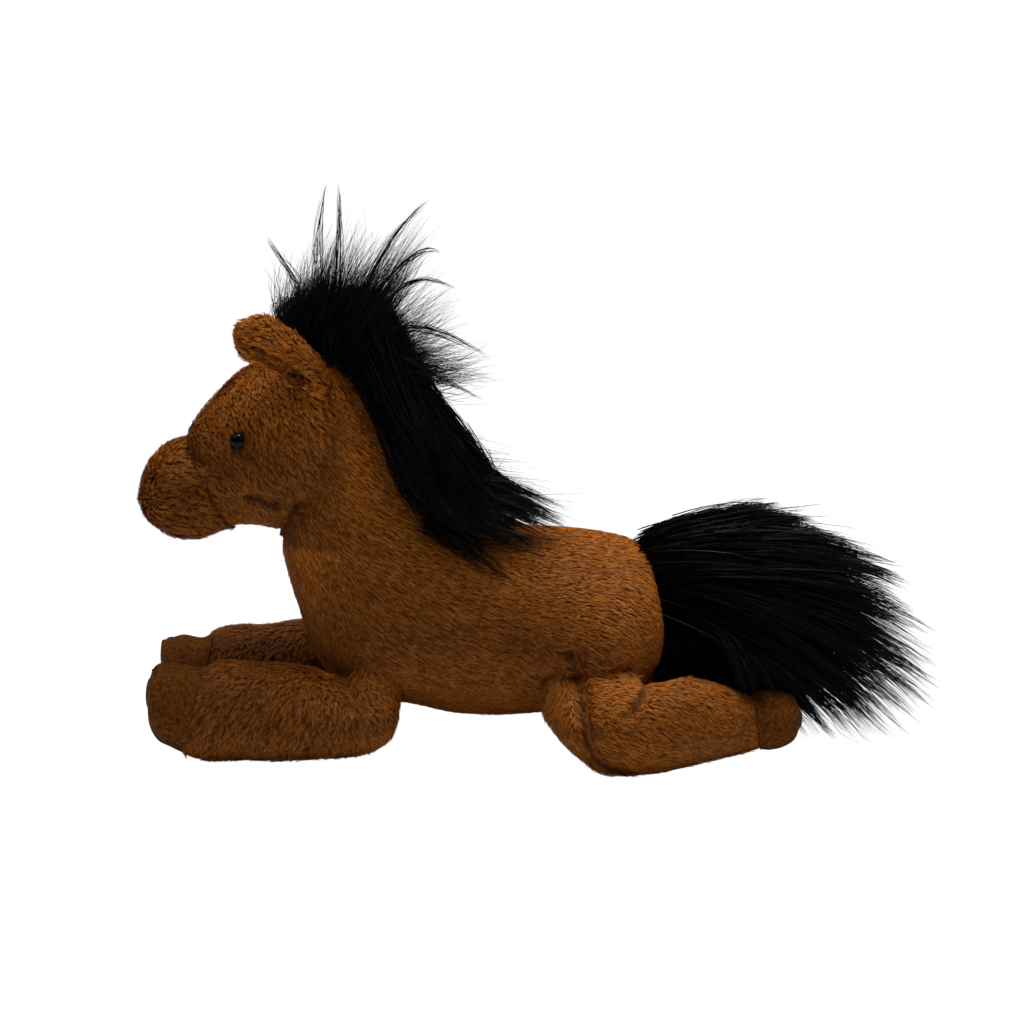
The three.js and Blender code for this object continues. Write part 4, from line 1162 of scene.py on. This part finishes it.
# How many locks go where from top to bottom, how wide the plume is there and how far they arch
TAIL_TURNS = [(0, 0), (0.16, 0.2), (0.8, 0.72), (1, 1)]
TAIL_WIDTHS = [(0.6, 1.05), (0.8, 0.55)]
TAIL_BULGES = [(0, 0.03), (0.15, 0.09), (0.6, 0.12), (1, 0.05)]
rng = np.random.default_rng(51)
turn = ramped(rng.uniform(0, 1, TAIL_LOCKS), TAIL_TURNS)
side_share = np.sin(rng.uniform(-TAIL_SIDE_TURN, TAIL_SIDE_TURN, TAIL_LOCKS) * np.pi)
side_share *= np.sqrt(1 - (TAIL_ROUNDNESS * (1 - 2 * turn)) ** 2) * ramped(turn, TAIL_WIDTHS)
height_left = np.sqrt(1 - TAIL_SLOPE * side_share**2)[:, None]
heart = np.array([TAIL_HEART]) * MM
tips = heart + (traced(TAIL_TIPS, turn) - heart) * height_left * TAIL_FULLNESS
top, bottom = np.array(TAIL_ROOTS) * MM
roots = top + (bottom - top) * turn[:, None]
reach = np.minimum(rng.uniform(*TAIL_REACHES, TAIL_LOCKS)[:, None] ** 0.5, TAIL_LONGEST)
tips = roots + (tips - roots) * reach
bulge = ramped(turn, TAIL_BULGES)[:, None] * np.linalg.norm(tips - roots, axis=1, keepdims=True)
middles = (roots + tips) / 2 + bulge * np.array([[0.15, 1.0]])
tail_root = upright(roots, side_share * TAIL_ROOT_HALF_WIDTH)
tail_middle = upright(middles, side_share * TAIL_MIDDLE_HALF_WIDTH)
tail_tip = upright(tips, side_share * (TAIL_TIP_HALF_WIDTH - TAIL_NARROWING * reach[:, 0]))
whole = arcs(tail_root, tail_middle, tail_tip)
# Half of the locks start halfway out
outer = arcs((tail_root + tail_middle) / 2, (tail_middle * 0.8 + tail_tip * 0.45) / 1.25, tail_tip)
begins = rng.random(TAIL_LOCKS) < 0.5
whole[begins] = outer[begins]
paths = locks(whole, 14, rng, spread=0.0021, gather=0.9, taper=2.2)
stray = rng.random(len(paths)) < TAIL_STRAYS
paths[stray] = drifted(paths[stray], rng, spread=0.005)
kept = ~inside(paths[:, 3:], 0.0005, *hind_rows, torso_rows).any(axis=1)
strands("tail_strands", paths[kept], TAIL_STRAND, "tail", seed=52, shade=TAIL_TONE)
# Hair that falls between the hind legs, right behind the rump: X and Z in millimetres
LOW_STRAND = 0.00042
LOW_LOCKS = 260
LOW_HALF_WIDTH = 0.017
LOW_ARCH = np.array([0.004, 0.001])


def scattered(rng, count, across, up):
    """X and Z pairs drawn evenly from two ranges in millimetres."""
    return np.stack([rng.uniform(*across, count), rng.uniform(*up, count)], 1) * MM


low_root = scattered(rng, LOW_LOCKS, (44, 49), (40, 66))
low_x = 46 + 20 * rng.uniform(0, 1, LOW_LOCKS) ** 2
low_tip = np.stack([low_x, rng.uniform(12, 32, LOW_LOCKS)], 1) * MM
low_side = rng.uniform(-LOW_HALF_WIDTH, LOW_HALF_WIDTH, LOW_LOCKS)
low_middle = upright((low_root + low_tip) / 2 + LOW_ARCH, low_side)
low_paths = arcs(upright(low_root, low_side * 0.7), low_middle, upright(low_tip, low_side))
# and wisps that lie over each hind hoof, as high as it is at their place across
HOOF_TOP = [(0.026, 34), (0.036, 32), (0.048, 21)]
OVER_LOCKS = 90
OVER_ROOT_ASIDE = 0.012
OVER_TIP_ASIDE = (0.048, 0.022)
over = rng.choice([-1, 1], OVER_LOCKS)
drop = rng.uniform(0, 1, OVER_LOCKS)
over_root = scattered(rng, OVER_LOCKS, (50, 62), (54, 66))
over_middle = np.stack([73 + 9 * drop, rng.uniform(41, 47, OVER_LOCKS)], 1) * MM
aside = OVER_TIP_ASIDE[0] - OVER_TIP_ASIDE[1] * rng.uniform(0, 1, OVER_LOCKS) ** 2
over_height = ramped(aside, HOOF_TOP) + rng.uniform(0, 4, OVER_LOCKS)
over_tip = upright(np.stack([79 + 18 * drop, over_height], 1) * MM, over * aside)
over_middle = upright(over_middle, over * aside * 0.68)
over_paths = arcs(upright(over_root, over * OVER_ROOT_ASIDE), over_middle, over_tip)
low_paths = locks(low_paths, 16, rng, spread=0.0016, gather=0.6)
over_paths = locks(over_paths, 6, rng, spread=0.0011, gather=0.8)
low_paths = np.concatenate([low_paths, over_paths])
strands("tail_low_strands", low_paths, LOW_STRAND, "tail", seed=53, shade=TAIL_TONE)

# Mane: sewn along the crest, falling back over both sides of the neck
MANE_HALF_WIDTH = 0.033
MANE_STRAND = 0.00038
FINE_STRAND = 0.0002
MANE_LOCKS = 800
MANE_STRAYS = 0.04
# Where locks start, how far they run and where they end at most, as shares of the mane's way
MANE_STARTS = (-0.2, 0.58)
MANE_RUNS = (0.2, 0.46)
MANE_ENDS = (0.52, 0.8)
MANE_ROOT_REACH = 0.84
MANE_SWERVE = 0.12
# How far the ends of the outer locks sweep back
MIDDLE_SWEEP = np.array([0.004, 0, -0.0005])
TIP_SWEEP = np.array([0.022, 0, -0.002])
MANE_SHARES = [
    (-0.71, 1.485, -0.53, 1.579, 0.727),
    (-0.66, 1.374, -0.46, 1.427, 0.909),
    (-0.636, 1.272, -0.368, 1.313, 0.97),
    (-0.616, 1.149, -0.27, 1.202, 1),
    (-0.576, 1.023, -0.19, 1.108, 1),
    (-0.496, 0.928, -0.12, 1.018, 0.97),
    (-0.384, 0.85, -0.052, 0.937, 0.909),
    (-0.24, 0.79, 0, 0.871, 0.727),
    (-0.1, 0.7, -0.04, 0.757, 0.364),
]
mane_rows = ribs(MANE_SHARES, (SHIFT, 0), (BACK_LENGTH, WITHERS_HEIGHT, MANE_HALF_WIDTH))
sunk_core("mane_core", mane_rows, "neck_mane", "torso", by=0.004, end=0.5, last=0.022)
rng = np.random.default_rng(61)
count = MANE_LOCKS
angle = rng.uniform(0, 2 * np.pi, count)
start = rng.uniform(*MANE_STARTS, count)
run = np.minimum(rng.uniform(*MANE_RUNS, count), rng.uniform(*MANE_ENDS, count) - start)


def mane_place(share, angle, reach):
    """A place in the mane; past its last rib the hair runs straight on."""
    step = 0.02
    within = np.clip(share, 0, 0.82)

    def place(share):
        centre, half, width = spine(mane_rows, share)
        point = centre + half * (reach * np.cos(angle))[:, None]
        point[:, 1] += reach * width * np.sin(angle)
        return point

    here, there = place(within), place(within + step)
    return here + (there - here) * ((share - within) / step)[:, None]


mane_root = mane_place(start, angle, np.full(count, MANE_ROOT_REACH))
swerve = rng.normal(0, MANE_SWERVE, count)
flatter = 1 - np.interp(-np.cos(angle), [0, 1], [0, 0.16]) * np.interp(start, [0.1, 0.3], [0, 1])
near, far = flatter * rng.uniform(0.93, 1.03, count), flatter * rng.uniform(0.9, 1.16, count)
mane_middle = mane_place(start + run * 0.5, angle + swerve * 0.4, near)
mane_tip = mane_place(start + run, angle + swerve, far)
swept = (np.clip((start + run - 0.5) / 0.3, 0, 1) * (1 + np.cos(angle)) / 2)[:, None]
mane_middle += swept * MIDDLE_SWEEP
mane_tip += swept * TIP_SWEEP
paths = arcs(mane_root, mane_middle, mane_tip)
paths = locks(paths, 15, rng, spread=0.0022, gather=0.88, taper=1.8)
stray = rng.random(len(paths)) < MANE_STRAYS
paths[stray] = drifted(paths[stray], rng, spread=0.006)
# The mane's lower end fans out over the back: roots and tips as X and Z in millimetres
FAN_ROOTS = [(-52, 126), (-46, 119), (-40, 111), (-37, 104), (-38, 98), (-42, 94), (-47, 93)]
FAN_TIPS = [
    (-32, 116), (-20, 108), (-6, 100), (9, 93), (8, 87), (7, 80), (2, 74), (-7, 70), (-21, 74),
]
FAN_HALF_WIDTHS = [(0, 0.006), (0.4, 0.016), (1, 0.032)]
FAN_REACHES = (0.35, 1.1)
FAN_LOCKS = 520
FINE_HAIRS = 900
count = FAN_LOCKS
at = rng.random(count) ** 1.1
fan_root = traced(FAN_ROOTS, at)
fan_tip = traced(FAN_TIPS, np.clip(at + rng.normal(0, 0.07, count), 0, 1))
half = rng.choice([-1, 1], count) * ramped(at, FAN_HALF_WIDTHS)
half = half * rng.uniform(0.5, 1.12, count)
fan_tip = fan_root + (fan_tip - fan_root) * rng.uniform(*FAN_REACHES, count)[:, None]
fan_root, fan_tip = upright(fan_root, half * 0.9), upright(fan_tip, half)
fan_middle = (fan_root + fan_tip) / 2 + np.array([0, 0, 0.002]) + rng.normal(0, 0.0012, (count, 3))
fan = locks(arcs(fan_root, fan_middle, fan_tip), 9, rng, spread=0.0014, gather=0.9)
# with single fine hairs past its tips
fine = fan[rng.permutation(len(fan))[:FINE_HAIRS]]
fine = drifted(fine, rng, spread=0.005, push=(0.005, 0, 0.001), power=1.5)
widths = np.repeat([MANE_STRAND, FINE_STRAND], [len(paths) + len(fan), len(fine)])
paths = np.concatenate([paths, fan, fine])
kept = ~inside(paths[:, 2:], 0.0015, torso_rows).any(axis=1)
strands("mane_strands", paths[kept], widths[kept], "torso", seed=62)

# Forelock: a ruffled tuft over the poll, with wisps that stand up
FORELOCK_HALF_WIDTH = 0.021
TUFT_STRAND = 0.00036
WISP_STRAND = 0.00034
TUFT_ROOT_HALF_WIDTH = 0.013
TUFT_TIP_HALF_WIDTH = 0.018
TUFT_ROOT_DROP = 0.018
FORELOCK_SHARES = [
    (-0.202, 0.758, -0.174, 0.665, 0.381),
    (-0.146, 0.899, -0.118, 0.571, 0.667),
    (-0.046, 0.965, -0.046, 0.529, 0.857),
    (0.074, 1.019, 0.014, 0.474, 0.952),
    (0.194, 1.031, 0.074, 0.421, 1),
    (0.274, 0.883, 0.126, 0.393, 0.952),
    (0.322, 0.693, 0.158, 0.409, 0.762),
]
# Roots and tips round the tuft, from its front to its back, as X and Z in millimetres
TUFT_ROOTS = [(-102, 170), (-96, 172), (-88, 172), (-80, 170), (-72, 166), (-66, 160), (-60, 154)]
TUFT_TIPS = [
    (-107, 198), (-99, 190), (-92, 197), (-86, 206), (-79, 210), (-73, 214), (-64, 208),
    (-52, 208), (-44, 214), (-46, 200), (-36, 186), (-32, 173), (-30, 160), (-16, 152), (-24, 146),
]
tuft_rows = ribs(FORELOCK_SHARES, neck, (HEAD_SIZES[0], HEAD_SIZES[1], FORELOCK_HALF_WIDTH))
sunk_core("forelock_core", tuft_rows, "forelock", "head", by=0.010)
# Long wisps: root, middle and tip as X and Z, and sideways place at root and tip
WISPS = [
    [(-92, 178), (-100, 194), (-109, 206), -4, -8],
    [(-88, 178), (-88, 205), (-84, 226), 4, 6],
    [(-81, 180), (-79, 205), (-80, 227), -3, -3],
    [(-70, 182), (-57, 205), (-43, 219), 2, 5],
    [(-64, 172), (-50, 188), (-32, 184), -5, -9],
    [(-60, 166), (-42, 166), (-17, 152), 4, 8],
    [(-62, 160), (-45, 152), (-20, 139), -6, -10],
    [(-66, 178), (-50, 196), (-38, 196), 6, 10],
]
rng = np.random.default_rng(71)


def tuft(count, per_lock, low, high, spread, gather):
    """Locks that stand from the poll, as long as shares low to high of the way to the tips."""
    at = rng.random(count) ** 0.85
    roots = traced(TUFT_ROOTS, at)
    tips = traced(TUFT_TIPS, np.clip(at + rng.normal(0, 0.06, count), 0, 1))
    sideways = rng.uniform(-1, 1, count)
    roots[:, 1] -= rng.uniform(0, 1, count) * TUFT_ROOT_DROP
    tall = rng.uniform(low, high, count)[:, None]
    root = upright(roots, sideways * TUFT_ROOT_HALF_WIDTH)
    aside = sideways * TUFT_TIP_HALF_WIDTH + rng.normal(0, 0.003, count)
    tip = upright(roots + (tips - roots) * tall, aside)
    middle = (root + tip) / 2 + rng.normal(0, 0.0025, (count, 3))
    return locks(arcs(root, middle, tip), per_lock, rng, spread, gather, wave=0.001)


thick = tuft(820, 9, low=0.14, high=0.52, spread=0.0014, gather=0.8)
thin = tuft(1000, 4, low=0.35, high=1.05, spread=0.0009, gather=0.5)
root, middle, tip = np.swapaxes([wisp[:3] for wisp in WISPS], 0, 1) * MM
apart = np.array([wisp[3:] for wisp in WISPS]) * MM
root, tip = upright(root, apart[:, 0]), upright(tip, apart[:, 1])
wisp_paths = arcs(root, upright(middle, apart.mean(1)), tip)
wisp_paths = locks(wisp_paths, 20, rng, spread=0.0013, gather=0.93, wave=0.0008)
thin = drifted(thin, rng, spread=0.004, push=(0.002, 0, 0.001), power=1.6)
widths = [TUFT_STRAND, WISP_STRAND, FINE_STRAND]
widths = np.repeat(widths, [len(thick), len(wisp_paths), len(thin)])
strands("forelock_strands", np.concatenate([thick, wisp_paths, thin]), widths, "head", seed=72)

# Thread: a stitch that draws in each nostril, a knot under the chin, and a tack on each fore hoof
THREAD_RADIUS = 0.0006
THREAD = (0.012, 0.006, 0.003)
THREAD_DARK = (0.006, 0.003, 0.002)
thread_look = grained(
    "thread", THREAD, THREAD_DARK, 0.8, scale=1500, depth=0.0002, Specular_IOR_Level=0.2
)
CHIN_PLACE = (0.97, 1.0)
TACK_PLACE = (0.923, 0.08)
NOSTRIL_STITCH = {"sink": 0.0030, "length": 0.0036}
HOOF_TACK = {"sink": 0.0003, "length": 0.0022}
CHIN_KNOT = {"sink": 0.0002, "length": 0.0010}


def stitch(name, place, way, body, node, sink, length):
    """A short bar of thread with round ends, sunk in at its place, instead of its CAD node."""
    point, out = place
    rise = np.linspace(0.48, 0, 6) * np.pi
    ends = [(THREAD_RADIUS * math.cos(r), length / 2 + THREAD_RADIUS * math.sin(r)) for r in rise]
    ends += [(r, -h) for r, h in ends[::-1]]
    bar = turned(ends, 10, point - out * sink, unit(way), 0.0)
    solid(name, bar, thread_look, body, "thread", node)


for side, sign in SIDES.items():
    stitch(
        f"{side}_nostril_thread", nostrils[side], np.array([0.25, 0, 1.0]), "head",
        f"{side}_nostril_stitch", **NOSTRIL_STITCH,
    )
    tack = surface_place(leg_rows[side, "foreleg"], TACK_PLACE, sign)
    stitch(
        f"{side}_hoof_tack", tack, np.cross(tack[1], [0.5, 1.0, 0.3]), f"{side}_foreleg",
        f"{side}_foreleg_tack", **HOOF_TACK,
    )
chin = surface_place(head_rows, CHIN_PLACE, 1)
stitch("chin_thread_knot", chin, np.array([0.2, 1.0, 0.0]), "head", "chin_knot", **CHIN_KNOT)

# Inner pieces: the lock washers and the pellet pouch are the CAD pieces themselves
PLASTIC = (0.75, 0.73, 0.68)
PLASTIC_DARK = (0.7, 0.68, 0.63)
SACKING = (0.6, 0.56, 0.48)
SACKING_DARK = (0.45, 0.42, 0.36)
washer_look = grained("washer_plastic", PLASTIC, PLASTIC_DARK, 0.45, scale=200, depth=0.0001)
pouch_look = grained("pellet_cloth", SACKING, SACKING_DARK, 0.9, scale=600, depth=0.0005)
INNER = {
    "left_eye_washer": washer_look,
    "right_eye_washer": washer_look,
    "belly_pellet_pouch": pouch_look,
}
for name, finish in INNER.items():
    made = bpy.data.objects[name]
    made.data.materials.clear()
    made.data.materials.append(finish)
